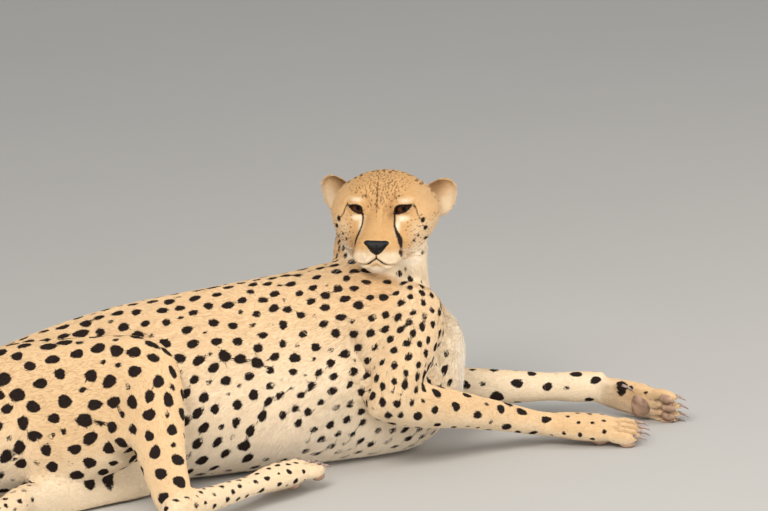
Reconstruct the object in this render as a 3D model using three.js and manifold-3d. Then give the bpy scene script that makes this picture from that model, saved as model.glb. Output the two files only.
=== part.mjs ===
// A life-size cheetah at rest, as a still museum model. It lies on its chest and its left hip, with
// the forelegs stretched ahead, the right hind knee raised and the head turned back over the right
// shoulder.
// Millimetres. +X is the way the chest points, +Y its left side, +Z up, and the floor is at Z = 0.
import * as THREE from "three";
import { mergeVertices } from "three/addons/utils/BufferGeometryUtils.js";
import Module from "manifold-3d";

const wasm = await Module();
wasm.setup();

// ---- Driving sizes ----
const GAP = 0.35; // left between touching nodes
const CHEST_DEPTH = 292;
const CHEST_WIDTH = 192;
const BELLY_DEPTH = 276;
const HIP_DEPTH = 224;
const HIP_WIDTH = 192;
const NECK_WIDTH = 128;
const UPPER_ARM = 144; // shoulder joint to elbow
const FOREARM = 272;
const FOREFOOT = 102; // wrist to knuckles
const THIGH = 240;
const SHIN = 238;
const HINDFOOT = 252; // hock to knuckles
const TOE = 55;
const OUTER_TOE = 0.9; // the outer toes' length as a share of the middle ones'
const TOE_PITCH = 15; // from the middle of one toe to the next
const CLAW_LENGTH = 19;
const TAIL_RADIUS = 26;
const HEAD_WIDTH = 146;
const EYE_SPACING = 68;
const EYE_RADIUS = 17;
const EAR_WIDTH = 54;
const EAR_HEIGHT = 68; // from the sunk root to the tip

// ---- Colours ----
const coat = new THREE.MeshStandardMaterial({ color: 0xe3bf8c, roughness: 0.85 });
const noseLeather = new THREE.MeshStandardMaterial({ color: 0x1d1a1b, roughness: 0.45 });
const eyeGlaze = new THREE.MeshStandardMaterial({ color: 0x6b3212, roughness: 0.1 });
const clawHorn = new THREE.MeshStandardMaterial({ color: 0xb9a48c, roughness: 0.4 });

// ---- Small helpers ----
const vec = (x, y, z) => new THREE.Vector3(x, y, z);
const radians = THREE.MathUtils.degToRad;
const UPRIGHT = vec(0, 0, 1);

// The direction with a heading round from +X and a pitch above the floor, in degrees.
function direction(heading, pitch) {
  const flat = Math.cos(radians(pitch));
  const [ahead, left] = [Math.cos(radians(heading)), Math.sin(radians(heading))];
  return vec(ahead * flat, left * flat, Math.sin(radians(pitch)));
}

const reach = (from, distance, heading, pitch) =>
  direction(heading, pitch).multiplyScalar(distance).add(from);

// The direction that leans from straight up towards +Y by an angle in degrees.
const leaning = (degrees) => direction(90, 90 - degrees);

// One station of a loft: its centre, its half width, its heights above and below the centre, and which
// way is up.
const station = (at, side, top, bottom = top, up = UPRIGHT) => ({ at, side, top, bottom, up });

const curveThrough = (points) => new THREE.CatmullRomCurve3(points, false, "catmullrom", 0.5);

const signedPower = (value, power) => Math.sign(value) * Math.abs(value) ** power;

// A closed body lofted through stations. It starts as a sphere whose rows become rings round the centre
// line and whose poles close the two ends. square above 2 makes the sections boxier, and facing, where
// it is given, is the direction that every ring faces, in place of the centre line's own.
function loft(stations, { around = 20, rows = 16, square = 2, facing = null } = {}) {
  const centres = curveThrough(stations.map((s) => s.at));
  const sizes = curveThrough(stations.map((s) => vec(s.side, s.top, s.bottom)));
  const ups = curveThrough(stations.map((s) => s.up));
  const geometry = new THREE.SphereGeometry(1, around, rows);
  const position = geometry.getAttribute("position");
  const uv = geometry.getAttribute("uv");
  const nudge = 0.001;
  for (let i = 0; i < position.count; i++) {
    const row = Math.round((1 - uv.getY(i)) * rows);
    const column = Math.round(uv.getX(i) * around) % around;
    const t = THREE.MathUtils.clamp((row - 1) / (rows - 2), 0, 1);
    const ahead = centres.getPoint(Math.min(1, t + nudge));
    const ownWay = ahead.sub(centres.getPoint(Math.max(0, t - nudge))).normalize();
    const along = facing ?? ownWay;
    const point = centres.getPoint(t);
    if (row > 0 && row < rows) {
      const angle = (column / around) * 2 * Math.PI;
      const across = along.clone().cross(ups.getPoint(t)).normalize();
      const up = across.clone().cross(along);
      const size = sizes.getPoint(t);
      const height = Math.sin(angle) > 0 ? size.y : size.z;
      point.addScaledVector(across, size.x * signedPower(Math.cos(angle), 2 / square));
      point.addScaledVector(up, height * signedPower(Math.sin(angle), 2 / square));
    }
    position.setXYZ(i, point.x, point.y, point.z);
  }
  return geometry;
}

// Pushes the surface near a spot, as a muscle or a bone under the skin does.
function swell(geometry, spot, radius, push) {
  const position = geometry.getAttribute("position");
  const point = new THREE.Vector3();
  for (let i = 0; i < position.count; i++) {
    point.fromBufferAttribute(position, i);
    const share = Math.exp(-((point.distanceTo(spot) / radius) ** 2));
    point.addScaledVector(push, share);
    position.setXYZ(i, point.x, point.y, point.z);
  }
  return geometry;
}

// The same swelling on both sides of the head's own middle plane.
function swellBothSides(geometry, spot, radius, push) {
  swell(geometry, spot, radius, push);
  swell(geometry, vec(spot.x, -spot.y, spot.z), radius, vec(push.x, -push.y, push.z));
}

function ball(centre, radii, around = 10, rows = 8) {
  return new THREE.SphereGeometry(1, around, rows).scale(...radii).translate(centre.x, centre.y, centre.z);
}

// ---- Joining and cutting ----
const toManifold = (geometry) =>
  new wasm.Manifold(
    new wasm.Mesh({
      numProp: 3,
      vertProperties: new Float32Array(geometry.getAttribute("position").array),
      triVerts: new Uint32Array(geometry.index.array),
    })
  );

// The same surface with its shared corners merged, no other attributes, and its faces turned outward.
function welded(geometry) {
  const bare = new THREE.BufferGeometry();
  bare.setAttribute("position", geometry.getAttribute("position").clone());
  bare.setIndex(geometry.index ? geometry.index.clone() : null);
  const merged = mergeVertices(bare, 1e-3);
  if (toManifold(merged).volume() < 0) {
    const corners = merged.index.array;
    for (let i = 0; i < corners.length; i += 3) {
      [corners[i + 1], corners[i + 2]] = [corners[i + 2], corners[i + 1]];
    }
  }
  return merged;
}

const solid = (geometry) => toManifold(welded(geometry));

// A solid larger by the gap all over, to cut a neighbour with.
function grown(geometry) {
  const merged = welded(geometry);
  merged.computeVertexNormals();
  const position = merged.getAttribute("position");
  const normal = merged.getAttribute("normal");
  const point = new THREE.Vector3();
  const outward = new THREE.Vector3();
  for (let i = 0; i < position.count; i++) {
    outward.fromBufferAttribute(normal, i);
    point.fromBufferAttribute(position, i).addScaledVector(outward, GAP);
    position.setXYZ(i, point.x, point.y, point.z);
  }
  return toManifold(merged);
}

const join = (solids) => solids.reduce((whole, piece) => whole.add(piece));
const cut = (whole, tools) => tools.reduce((left, tool) => left.subtract(tool), whole);

// The largest closed surface of a solid, so that cutting leaves no loose scraps.
function largest(made) {
  const pieces = made.decompose();
  return pieces.reduce((best, piece) => (piece.volume() > best.volume() ? piece : best));
}

function toMesh(name, made, material) {
  const data = largest(made).getMesh();
  const count = data.vertProperties.length / data.numProp;
  const positions = new Float32Array(count * 3);
  for (let i = 0; i < count; i++) {
    positions.set(data.vertProperties.subarray(i * data.numProp, i * data.numProp + 3), i * 3);
  }
  const geometry = new THREE.BufferGeometry();
  geometry.setAttribute("position", new THREE.BufferAttribute(positions, 3));
  geometry.setIndex(new THREE.BufferAttribute(new Uint32Array(data.triVerts), 1));
  geometry.computeVertexNormals();
  const mesh = new THREE.Mesh(geometry, material);
  mesh.name = name;
  return mesh;
}

const HUGE = 4000;

// A block that fills the side of a plane that its normal points to, and half a gap of the other side.
function halfSpace(point, normal) {
  const block = new THREE.BoxGeometry(HUGE, HUGE, HUGE).translate(0, 0, (HUGE - GAP) / 2);
  block.applyQuaternion(new THREE.Quaternion().setFromUnitVectors(UPRIGHT, normal.clone().normalize()));
  return solid(block.translate(point.x, point.y, point.z));
}

const floor = solid(new THREE.BoxGeometry(HUGE, HUGE, HUGE).translate(0, 0, -HUGE / 2));

// ---- Pose: the joints, found by reaching from one to the next ----
const rightShoulder = vec(38, -48, 214);
const rightElbow = reach(rightShoulder, UPPER_ARM, -135, -48);
const rightWrist = reach(rightElbow, FOREARM, 11.5, -16);
const rightKnuckles = reach(rightWrist, FOREFOOT, -23, -5);
const leftShoulder = vec(60, 95, 172);
const leftElbow = reach(leftShoulder, UPPER_ARM, 60, -64);
const leftWrist = reach(leftElbow, FOREARM, -19, 0);
const leftKnuckles = reach(leftWrist, FOREFOOT, -43, -9);
const rightHip = vec(-592, -22, 148);
const rightKnee = reach(rightHip, THIGH, -27, 14);
const rightHock = reach(rightKnee, SHIN, -93, -44);
const rightHindKnuckles = reach(rightHock, HINDFOOT, 34.5, -2);
const leftHip = vec(-580, 48, 72);
const leftKnee = reach(leftHip, THIGH, -27, -9);
const leftHock = reach(leftKnee, SHIN, -158, 0);
const leftHindKnuckles = reach(leftHock, HINDFOOT, -135, -2);

// ---- Trunk, neck and tail ----
const trunkStations = [
  station(vec(-742, -20, 98), 6, 6, 6, leaning(45)),
  station(vec(-728, -20, 100), 0.24 * HIP_WIDTH, 0.22 * HIP_DEPTH, 0.22 * HIP_DEPTH, leaning(45)),
  station(vec(-672, -17, 104), 0.42 * HIP_WIDTH, 0.42 * HIP_DEPTH, 0.42 * HIP_DEPTH, leaning(45)),
  station(vec(-580, -12, 109), 0.5 * HIP_WIDTH, 0.51 * HIP_DEPTH, 0.5 * HIP_DEPTH, leaning(44)),
  station(vec(-480, -4, 119), 0.49 * HIP_WIDTH, 0.58 * HIP_DEPTH, 0.55 * HIP_DEPTH, leaning(36)),
  station(vec(-380, 5, 129), 0.48 * HIP_WIDTH, 0.495 * BELLY_DEPTH, 0.49 * BELLY_DEPTH, leaning(29)),
  station(vec(-258, 12, 136), 0.51 * HIP_WIDTH, 0.5 * BELLY_DEPTH, 0.52 * BELLY_DEPTH, leaning(20)),
  station(vec(-113, 12, 142), 0.53 * CHEST_WIDTH, 0.49 * CHEST_DEPTH, 0.515 * CHEST_DEPTH, leaning(12)),
  station(vec(-20, 8, 148), 0.49 * CHEST_WIDTH, 0.5 * CHEST_DEPTH, 0.53 * CHEST_DEPTH, leaning(8)),
  station(vec(52, 6, 146), 0.43 * CHEST_WIDTH, 0.385 * CHEST_DEPTH, 0.5 * CHEST_DEPTH, leaning(6)),
  station(vec(98, 4, 146), 0.34 * CHEST_WIDTH, 0.265 * CHEST_DEPTH, 0.36 * CHEST_DEPTH, leaning(6)),
  station(vec(123, 2, 148), 0.18 * CHEST_WIDTH, 0.16 * CHEST_DEPTH, 0.19 * CHEST_DEPTH, leaning(6)),
  station(vec(131, 2, 148), 0.05 * CHEST_WIDTH, 0.04 * CHEST_DEPTH, 0.05 * CHEST_DEPTH, leaning(6)),
];

function trunkLoft() {
  const made = loft(trunkStations, { around: 24, rows: 28, square: 2.1 });
  swell(made, vec(-20, -70, 215), 70, vec(0, -16, 6)); // near shoulder blade
  swell(made, vec(-20, 90, 215), 70, vec(0, 14, 2)); // far shoulder blade
  swell(made, vec(-610, -60, 150), 90, vec(0, -14, 12)); // near haunch
  return made;
}

const NECK_UP = vec(0.4, 1, 0);
const neckStations = [
  station(vec(14, 8, 175), 0.5 * NECK_WIDTH, 0.52 * NECK_WIDTH, 0.5 * NECK_WIDTH, NECK_UP),
  station(vec(16, 18, 214), 0.56 * NECK_WIDTH, 0.56 * NECK_WIDTH, 0.52 * NECK_WIDTH, NECK_UP),
  station(vec(17, 42, 258), 0.57 * NECK_WIDTH, 0.52 * NECK_WIDTH, 0.54 * NECK_WIDTH, NECK_UP),
  station(vec(26, 62, 300), 0.56 * NECK_WIDTH, 0.48 * NECK_WIDTH, 0.5 * NECK_WIDTH, NECK_UP),
  station(vec(40, 72, 340), 0.49 * NECK_WIDTH, 0.38 * NECK_WIDTH, 0.42 * NECK_WIDTH, NECK_UP),
];

const neckLoft = () => loft(neckStations, { around: 18, rows: 8 });

const tailPoints = [
  vec(-700, -22, 112),
  vec(-760, -24, 88),
  vec(-820, -22, 46),
  vec(-900, -8, 26),
  vec(-1000, 26, 25),
  vec(-1090, 92, 25),
  vec(-1150, 186, 25),
  vec(-1176, 290, 25),
  vec(-1172, 352, 25),
];
const tailShares = [1.3, 1.2, 1.05, 1.0, 0.97, 0.97, 1.0, 0.88, 0.4];

function tailLoft() {
  const radii = tailShares.map((share) => TAIL_RADIUS * share);
  const stations = tailPoints.map((at, i) => station(at, radii[i], radii[i]));
  return loft(stations, { around: 10, rows: 20 });
}

// ---- Head, in a frame of its own: +X out of the face, +Y its left, +Z up, 0 midway between the eyes ----
const HEAD_HEADING = -114.5;
const HEAD_ROLL = 1.5; // how far its left side tips down
const headAt = vec(8, -3, 371);
const headForward = direction(HEAD_HEADING, 0);
const headLeft = direction(HEAD_HEADING + 90, -HEAD_ROLL);
const headFrame = new THREE.Matrix4()
  .makeBasis(headForward, headLeft, headForward.clone().cross(headLeft))
  .setPosition(headAt);
const toHead = (geometry) => geometry.applyMatrix4(headFrame);
const inHead = (geometry) => solid(toHead(geometry));

// Each row is a place along the head, its half width as a share of the cheeks', its top and its bottom.
const headRows = [
  [-122, 0.08, 0, -14],
  [-116, 0.38, 16, -34],
  [-102, 0.66, 31, -55],
  [-84, 0.86, 40, -70],
  [-56, 0.98, 46, -80],
  [-28, 1.0, 44, -85],
  [-8, 0.93, 37, -87],
  [6, 0.8, 25, -88],
  [18, 0.66, 9, -88],
  [32, 0.55, -5, -88],
  [46, 0.49, -17, -87],
  [57, 0.41, -25, -80],
  [64, 0.25, -32, -67],
];

function headLoft() {
  const stations = headRows.map(([x, share, top, bottom]) =>
    station(vec(x, 0, (top + bottom) / 2), (share * HEAD_WIDTH) / 2, (top - bottom) / 2)
  );
  const made = loft(stations, { around: 28, rows: 25, square: 2.15, facing: vec(1, 0, 0) });
  const eye = EYE_SPACING / 2;
  swellBothSides(made, vec(6, eye, 20), 20, vec(5, 0, 3)); // brows
  swellBothSides(made, vec(16, eye, -2), 17, vec(-5, 1, 0)); // eye sockets
  swellBothSides(made, vec(0, 62, -16), 26, vec(4, 5, 0)); // cheekbones
  swellBothSides(made, vec(-44, 68, -44), 30, vec(0, 5, 0)); // fluffy cheeks
  swellBothSides(made, vec(48, 24, -60), 16, vec(3, 7, 0)); // whisker pads
  swellBothSides(made, vec(30, 30, -24), 14, vec(-2, -5, 0)); // hollows beside the bridge of the nose
  swellBothSides(made, vec(40, 34, -86), 14, vec(0, -9, 6)); // the jaw draws in beside the chin
  swell(made, vec(48, 0, -86), 15, vec(4, 0, 0)); // chin
  return made;
}

const eyeCentre = vec(-3, EYE_SPACING / 2, 1);
const NOSE_HEIGHT = -42;
const EYE_CLEARANCE = 0.4;
const LID_THICKNESS = 1.6;

// The almond opening between the lids, pushed straight out of the face.
function lidOpening(side) {
  const inner = [21.5, -4];
  const outer = [46.5, 7.5];
  const outline = new THREE.Shape();
  outline.moveTo(...inner);
  outline.quadraticCurveTo(29, 16, ...outer);
  outline.quadraticCurveTo(37.5, -13.5, ...inner);
  const made = new THREE.ExtrudeGeometry(outline, { depth: 40, curveSegments: 5, bevelEnabled: false });
  const turn = new THREE.Matrix4().makeBasis(vec(0, 1, 0), vec(0, 0, 1), vec(1, 0, 0));
  return made.applyMatrix4(turn).scale(1, side, 1);
}

// The nose leather: broad and nearly level above, and narrowing down to the lip.
function noseShape() {
  const made = ball(vec(59, 0, NOSE_HEIGHT), [9.5, 21, 14], 12, 8);
  const position = made.getAttribute("position");
  for (let i = 0; i < position.count; i++) {
    const over = Math.max(0, position.getZ(i) - NOSE_HEIGHT);
    position.setZ(i, position.getZ(i) - 0.4 * over);
    const low = THREE.MathUtils.clamp((-37 - position.getZ(i)) / 19, 0, 1);
    position.setY(i, position.getY(i) * (1 - 0.62 * low));
    position.setX(i, position.getX(i) - 2 * low);
  }
  return made;
}

// The line of the mouth, as a thin blade along it that reaches in through the lips.
function mouthBlade() {
  const half = [
    [56, 6, -66],
    [51, 14, -71],
    [41, 24, -72],
    [28, 31, -69],
    [14, 38, -63],
  ];
  const right = half.map(([x, y, z]) => vec(x, -y, z)).reverse();
  const places = [...right, vec(58, 0, -62), ...half.map((p) => vec(...p))];
  const stations = places.map((at) => station(at, 1.1, 20, 6, vec(at.x - 5, at.y * 1.4, -2).normalize()));
  return loft(stations, { around: 4, rows: 16 });
}

const nostril = (side) => ball(vec(66, 9.5 * side, -43), [7, 5, 3], 8, 6);

// ---- Ears: cups whose roots are sunk in the sides of the head ----
function earFrame(side) {
  const tip = vec(-0.12, 0.68 * side, 0.73).normalize();
  const facing = vec(0.93, 0.34 * side, 0);
  const across = tip.clone().cross(facing).normalize();
  const out = across.clone().cross(tip);
  const root = vec(-70, 56 * side, -18);
  return new THREE.Matrix4().makeBasis(out, across, tip).setPosition(root);
}

const EAR_MIDDLE = EAR_HEIGHT * 0.42;

function earOutside(side) {
  const radii = [15, EAR_WIDTH / 2, EAR_HEIGHT / 2];
  return toHead(ball(vec(0, 0, EAR_MIDDLE), radii, 12, 8).applyMatrix4(earFrame(side)));
}

function earCup(side) {
  const radii = [17, EAR_WIDTH / 2 - 4, EAR_HEIGHT / 2 - 4];
  const hollow = ball(vec(9, 0, EAR_MIDDLE), radii, 12, 7).applyMatrix4(earFrame(side));
  return solid(earOutside(side)).subtract(inHead(hollow));
}

// ---- Limb segments ----
// A tapered segment from one joint to the next. Each row of shape is the share of the way along, the
// half width, and the half heights above and below, and the ends run a little past the joints.
function segment(from, to, shape, up, options = {}) {
  const along = to.clone().sub(from);
  const stations = shape.map(([share, side, top, bottom = top]) =>
    station(from.clone().addScaledVector(along, share), side, top, bottom, up)
  );
  return loft(stations, options);
}

const upperArmShape = [
  [-0.36, 14, 12, 26],
  [-0.26, 40, 30, 62],
  [0.0, 54, 46, 96],
  [0.3, 54, 50, 102],
  [0.62, 46, 50, 84],
  [0.9, 38, 46, 52],
  [1.1, 30, 34, 32],
  [1.2, 8, 10, 10],
];

const forearmShape = [
  [-0.13, 8, 9, 9],
  [-0.08, 28, 32, 28],
  [0.06, 36, 43, 36],
  [0.24, 36, 41, 34],
  [0.5, 29, 35, 26],
  [0.78, 24, 27, 22],
  [0.95, 25, 22, 22],
  [1.08, 24, 20, 20],
  [1.12, 10, 8, 8],
];

// The far wrist is bent, which makes it deeper.
const bentForearmShape = forearmShape.map(([share, side, top, bottom]) =>
  share > 0.9 && share < 1.1 ? [share, side * 1.1, top * 1.3, bottom * 1.2] : [share, side, top, bottom]
);

const thighShape = [
  [-0.34, 20, 24, 24],
  [-0.24, 56, 66, 80],
  [0.0, 72, 84, 130],
  [0.3, 70, 78, 146],
  [0.62, 60, 67, 146],
  [0.9, 50, 55, 118],
  [1.06, 38, 40, 72],
  [1.14, 9, 10, 16],
];

const shinShape = [
  [-0.14, 10, 12, 12],
  [-0.08, 34, 34, 40],
  [0.08, 42, 44, 60],
  [0.3, 38, 40, 64],
  [0.6, 27, 26, 52],
  [0.85, 22, 22, 44],
  [1.04, 22, 22, 36],
  [1.1, 8, 8, 12],
];

const hindfootShape = [
  [-0.16, 8, 8, 8],
  [-0.12, 21, 22, 20],
  [0.02, 25, 27, 25],
  [0.25, 22, 21, 22],
  [0.6, 22, 18, 19],
  [0.9, 30, 20, 20],
  [1.06, 28, 17, 17],
  [1.1, 8, 6, 6],
];

const forefootShape = [
  [-0.2, 8, 6, 6],
  [-0.12, 23, 18, 18],
  [0.2, 26, 20, 20],
  [0.6, 29, 20, 19],
  [0.95, 31, 19, 18],
  [1.15, 25, 14, 15],
  [1.2, 8, 5, 5],
];

// ---- Paws ----
// A frame at the knuckles: forward along the foot, left across it and up out of its back.
function footFrame(from, to, up) {
  const forward = to.clone().sub(from).normalize();
  const left = up.clone().cross(forward).normalize();
  const rise = forward.clone().cross(left);
  return new THREE.Matrix4().makeBasis(forward, left, rise).setPosition(to);
}

const toeLanes = [-1.5, -0.5, 0.5, 1.5];
const toeLength = (lane) => TOE * (Math.abs(lane) < 1 ? 1 : OUTER_TOE);

function toe(lane, frame) {
  const length = toeLength(lane);
  const centre = vec(length * 0.42, lane * TOE_PITCH, -2);
  return ball(centre, [length * 0.52, 9.6, 11.5], 8, 5).applyMatrix4(frame);
}

function pads(frame) {
  const toePads = toeLanes.map((lane) => {
    const place = vec(toeLength(lane) * 0.56, lane * TOE_PITCH, -11);
    return solid(ball(place, [10, 7.6, 6.8], 6, 4).applyMatrix4(frame));
  });
  const heel = solid(ball(vec(-14, 0, -14), [17, 21, 9], 8, 4).applyMatrix4(frame));
  return [...toePads, heel];
}

// A short curved cone that starts inside the toe and points ahead and down.
function claw(place, frame) {
  const stations = [
    station(vec(-5, 0, 1), 2.4, 3.2),
    station(vec(CLAW_LENGTH * 0.5, 0, 1.4), 2, 2.4),
    station(vec(CLAW_LENGTH, 0, -4), 0.5, 0.5),
  ];
  const made = loft(stations, { around: 4, rows: 4 });
  return solid(made.translate(place.x, place.y, place.z).applyMatrix4(frame));
}

const clawPlace = (lane) => vec(toeLength(lane) * 0.86, lane * TOE_PITCH, 1.5);

// The thumb's dewclaw, high on the inner side of each forefoot, with the knob that it grows from.
const dewPlace = (inner) => vec(-0.45 * FOREFOOT, 22 * inner, -10);

const dewKnob = (inner, frame) => ball(dewPlace(inner), [13, 8, 9], 7, 4).applyMatrix4(frame);

// ---- Nodes. Each later one is cut back from the earlier ones that it meets ----
const root = new THREE.Group();
const add = (name, made, material = coat) => root.add(toMesh(name, made, material));

const grownTrunk = grown(trunkLoft());
const wholeTrunk = cut(solid(trunkLoft()), [floor]);
const hipPlane = { at: vec(-430, 0, 120), along: vec(1, 0, 0.05) };
const ribPlane = { at: vec(-205, 0, 130), along: vec(1, 0, 0.02) };
const ahead = (plane) => halfSpace(plane.at, plane.along);
const behind = (plane) => halfSpace(plane.at, plane.along.clone().negate());
add("hindquarters", cut(wholeTrunk, [ahead(hipPlane)]));
add("belly", cut(wholeTrunk, [behind(hipPlane), ahead(ribPlane)]));
add("chest", cut(wholeTrunk, [behind(ribPlane)]));

function buildHead() {
  const skull = inHead(headLoft());
  const lids = [];
  const openings = [];
  [-1, 1].forEach((side) => {
    const centre = vec(eyeCentre.x, eyeCentre.y * side, eyeCentre.z);
    const lidRadius = EYE_RADIUS + EYE_CLEARANCE + LID_THICKNESS;
    const socketRadius = EYE_RADIUS + EYE_CLEARANCE;
    lids.push(inHead(ball(centre, [lidRadius, lidRadius, lidRadius], 12, 8)));
    openings.push(inHead(ball(centre, [socketRadius, socketRadius, socketRadius], 12, 8)));
    openings.push(inHead(lidOpening(side)));
    const eyeName = side > 0 ? "eye_left" : "eye_right";
    add(eyeName, inHead(ball(centre, [EYE_RADIUS, EYE_RADIUS, EYE_RADIUS], 12, 8)), eyeGlaze);
  });
  const nostrils = [-1, 1].map((side) => inHead(nostril(side)));
  add("nose", cut(inHead(noseShape()), nostrils), noseLeather);
  const cuts = [...openings, grown(toHead(noseShape())), inHead(mouthBlade()), grownTrunk];
  add("head", cut(join([skull, ...lids]), cuts));
}
buildHead();

const grownHead = grown(toHead(headLoft()));
add("ear_right", cut(earCup(-1), [grownHead]));
add("ear_left", cut(earCup(1), [grownHead]));
const grownNeck = grown(neckLoft());
const grownEars = [-1, 1].map((side) => grown(earOutside(side)));
add("neck", cut(solid(neckLoft()), [grownTrunk, grownHead, ...grownEars]));

const wholeTail = cut(solid(tailLoft()), [grownTrunk, floor]);
const tailCuts = [
  { at: tailPoints[3], along: tailPoints[4].clone().sub(tailPoints[2]) },
  { at: tailPoints[6], along: tailPoints[7].clone().sub(tailPoints[5]) },
];
add("tail_base", cut(wholeTail, [ahead(tailCuts[0])]));
add("tail_middle", cut(wholeTail, [behind(tailCuts[0]), ahead(tailCuts[1])]));
add("tail_tip", cut(wholeTail, [behind(tailCuts[0]), behind(tailCuts[1])]));

// Builds one leg from its joints: two segments and a foot, each cut back from those before it, and its
// claws.
// It hands back what a leg that lies under this one has to avoid.
function leg({ side, names, claws, joints, ups, shapes, meshes, avoid, inner = 0 }) {
  const blockers = [...avoid];
  names.forEach((name, i) => {
    const [from, to] = [joints[i], joints[i + 1]];
    const flesh = segment(from, to, shapes[i], ups[i], meshes[i]);
    if (i < 2) {
      add(`${name}_${side}`, cut(solid(flesh), [...blockers, floor]));
      blockers.push(grown(flesh));
      return;
    }
    const frame = footFrame(from, to, ups[i]);
    const digits = toeLanes.map((lane) => toe(lane, frame));
    const places = toeLanes.map(clawPlace);
    if (inner !== 0) {
      digits.push(dewKnob(inner, frame));
      places.push(dewPlace(inner).add(vec(8, 5 * inner, -2)));
    }
    const foot = join([solid(flesh), ...digits.map(solid), ...pads(frame)]);
    add(`${name}_${side}`, cut(foot, [...blockers, floor]));
    const grownFoot = [flesh, ...digits].map(grown);
    places.forEach((place, k) => {
      add(`claw_${claws}_${side}_${k + 1}`, cut(claw(place, frame), [...grownFoot, floor]), clawHorn);
    });
  });
  return blockers;
}

const foreleg = {
  names: ["upper_arm", "forearm", "forepaw"],
  claws: "fore",
  shapes: [upperArmShape, forearmShape, forefootShape],
  meshes: [
    { around: 16, rows: 10 },
    { around: 12, rows: 10 },
    { around: 12, rows: 7 },
  ],
  avoid: [grownTrunk, grownNeck],
};
const hindleg = {
  names: ["thigh", "shin", "hindpaw"],
  claws: "hind",
  shapes: [thighShape, shinShape, hindfootShape],
  meshes: [
    { around: 18, rows: 10, square: 2.3 },
    { around: 13, rows: 10 },
    { around: 12, rows: 9 },
  ],
  avoid: [grownTrunk],
};
leg({
  ...foreleg,
  side: "right",
  joints: [rightShoulder, rightElbow, rightWrist, rightKnuckles],
  ups: [vec(0.7, 0, 1), UPRIGHT, vec(0, -0.25, 1)],
  inner: 1,
});
leg({
  ...foreleg,
  side: "left",
  shapes: [upperArmShape, bentForearmShape, forefootShape],
  joints: [leftShoulder, leftElbow, leftWrist, leftKnuckles],
  ups: [vec(1, 0, 0), UPRIGHT, vec(0.5, 0.8, 0.35)],
  inner: -1,
});
const overLeftHindleg = leg({
  ...hindleg,
  side: "right",
  joints: [rightHip, rightKnee, rightHock, rightHindKnuckles],
  ups: [vec(0.2, 0.25, 1), vec(1, 0.2, 0.6), UPRIGHT],
});
leg({
  ...hindleg,
  side: "left",
  joints: [leftHip, leftKnee, leftHock, leftHindKnuckles],
  ups: [UPRIGHT, UPRIGHT, UPRIGHT],
  avoid: overLeftHindleg,
});

// The whole stands on Z = 0 with the middle of its box over the origin.
const box = new THREE.Box3().setFromObject(root);
const middle = box.getCenter(new THREE.Vector3());
root.position.set(-middle.x, -middle.y, -box.min.z);

export default root;
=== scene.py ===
"""A life-size cheetah at rest: one skin over the body, its spotted coat, the face, the paws and the stage.

Shapes are worked out in millimetres in the frame of the pose, whose joints are named below, and are
set down in metres in the model's own frame.
"""

import itertools
import math

import bmesh
import bpy
import numpy as np
from bpy.props import FloatProperty, FloatVectorProperty, IntProperty, PointerProperty
from mathutils import Matrix, Vector
from mathutils.bvhtree import BVHTree
from mathutils.kdtree import KDTree


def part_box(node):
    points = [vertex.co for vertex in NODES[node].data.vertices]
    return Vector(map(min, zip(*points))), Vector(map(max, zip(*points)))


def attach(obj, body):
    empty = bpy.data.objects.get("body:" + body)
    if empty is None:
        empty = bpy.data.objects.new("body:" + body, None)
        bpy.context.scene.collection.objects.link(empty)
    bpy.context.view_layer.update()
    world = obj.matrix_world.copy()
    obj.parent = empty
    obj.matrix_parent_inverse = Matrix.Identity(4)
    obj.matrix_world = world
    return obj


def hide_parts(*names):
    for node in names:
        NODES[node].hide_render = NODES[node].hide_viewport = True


bl_info = {
    "name": "Resting cheetah",
    "version": (1, 0, 0),
    "blender": (4, 5, 0),
    "location": "View3D > Sidebar > Cheetah",
    "description": "Builds the skin, coat, face, paws and stage of a life-size cheetah at rest",
    "category": "Add Mesh",
}

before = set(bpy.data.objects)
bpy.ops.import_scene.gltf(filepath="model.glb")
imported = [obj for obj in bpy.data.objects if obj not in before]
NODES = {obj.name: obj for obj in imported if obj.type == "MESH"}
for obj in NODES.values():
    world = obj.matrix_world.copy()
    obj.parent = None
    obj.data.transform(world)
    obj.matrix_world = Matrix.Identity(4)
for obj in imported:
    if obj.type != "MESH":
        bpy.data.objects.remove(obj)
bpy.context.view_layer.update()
MM = 0.001
SEED = 7


# ---- Small helpers ----
def unit(v):
    """The same vectors with a length of one."""
    v = np.asarray(v, float)
    return v / np.maximum(np.linalg.norm(v, axis=-1, keepdims=True), 1e-9)


def aim(heading, pitch=0.0):
    """The direction with a heading round from +X and a pitch above the floor, in degrees."""
    turn, rise = math.radians(heading), math.radians(pitch)
    flat = math.cos(rise)
    return np.array([math.cos(turn) * flat, math.sin(turn) * flat, math.sin(rise)])


def reach(start, distance, heading, pitch):
    return np.asarray(start, float) + distance * aim(heading, pitch)


def ease(low, high, x):
    """0 below low, 1 above high, and a smooth rise between."""
    t = np.clip((np.asarray(x, float) - low) / (high - low), 0, 1)
    return t * t * (3 - 2 * t)


def hill(x, width):
    """1 where x is 0, and falling away smoothly over a width or two."""
    return np.exp(-((x / width) ** 2))


def bump(x, y, radius_x, radius_y):
    """A soft hill of height 1 at the origin."""
    return np.exp(-((x / radius_x) ** 2) - (y / radius_y) ** 2)


def norms(vectors):
    return np.linalg.norm(vectors, axis=-1)


def wander(points, wave, seed):
    """A smooth field between about -1 and 1 that changes over a distance of wave."""
    rng = np.random.default_rng(seed)
    total = np.zeros(len(points))
    for _ in range(7):
        way = unit(rng.normal(size=3)) * (2 * math.pi / wave) * rng.uniform(0.6, 1.5)
        total += np.sin(points @ way + rng.uniform(0, 2 * math.pi))
    return total / 3.0


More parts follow.
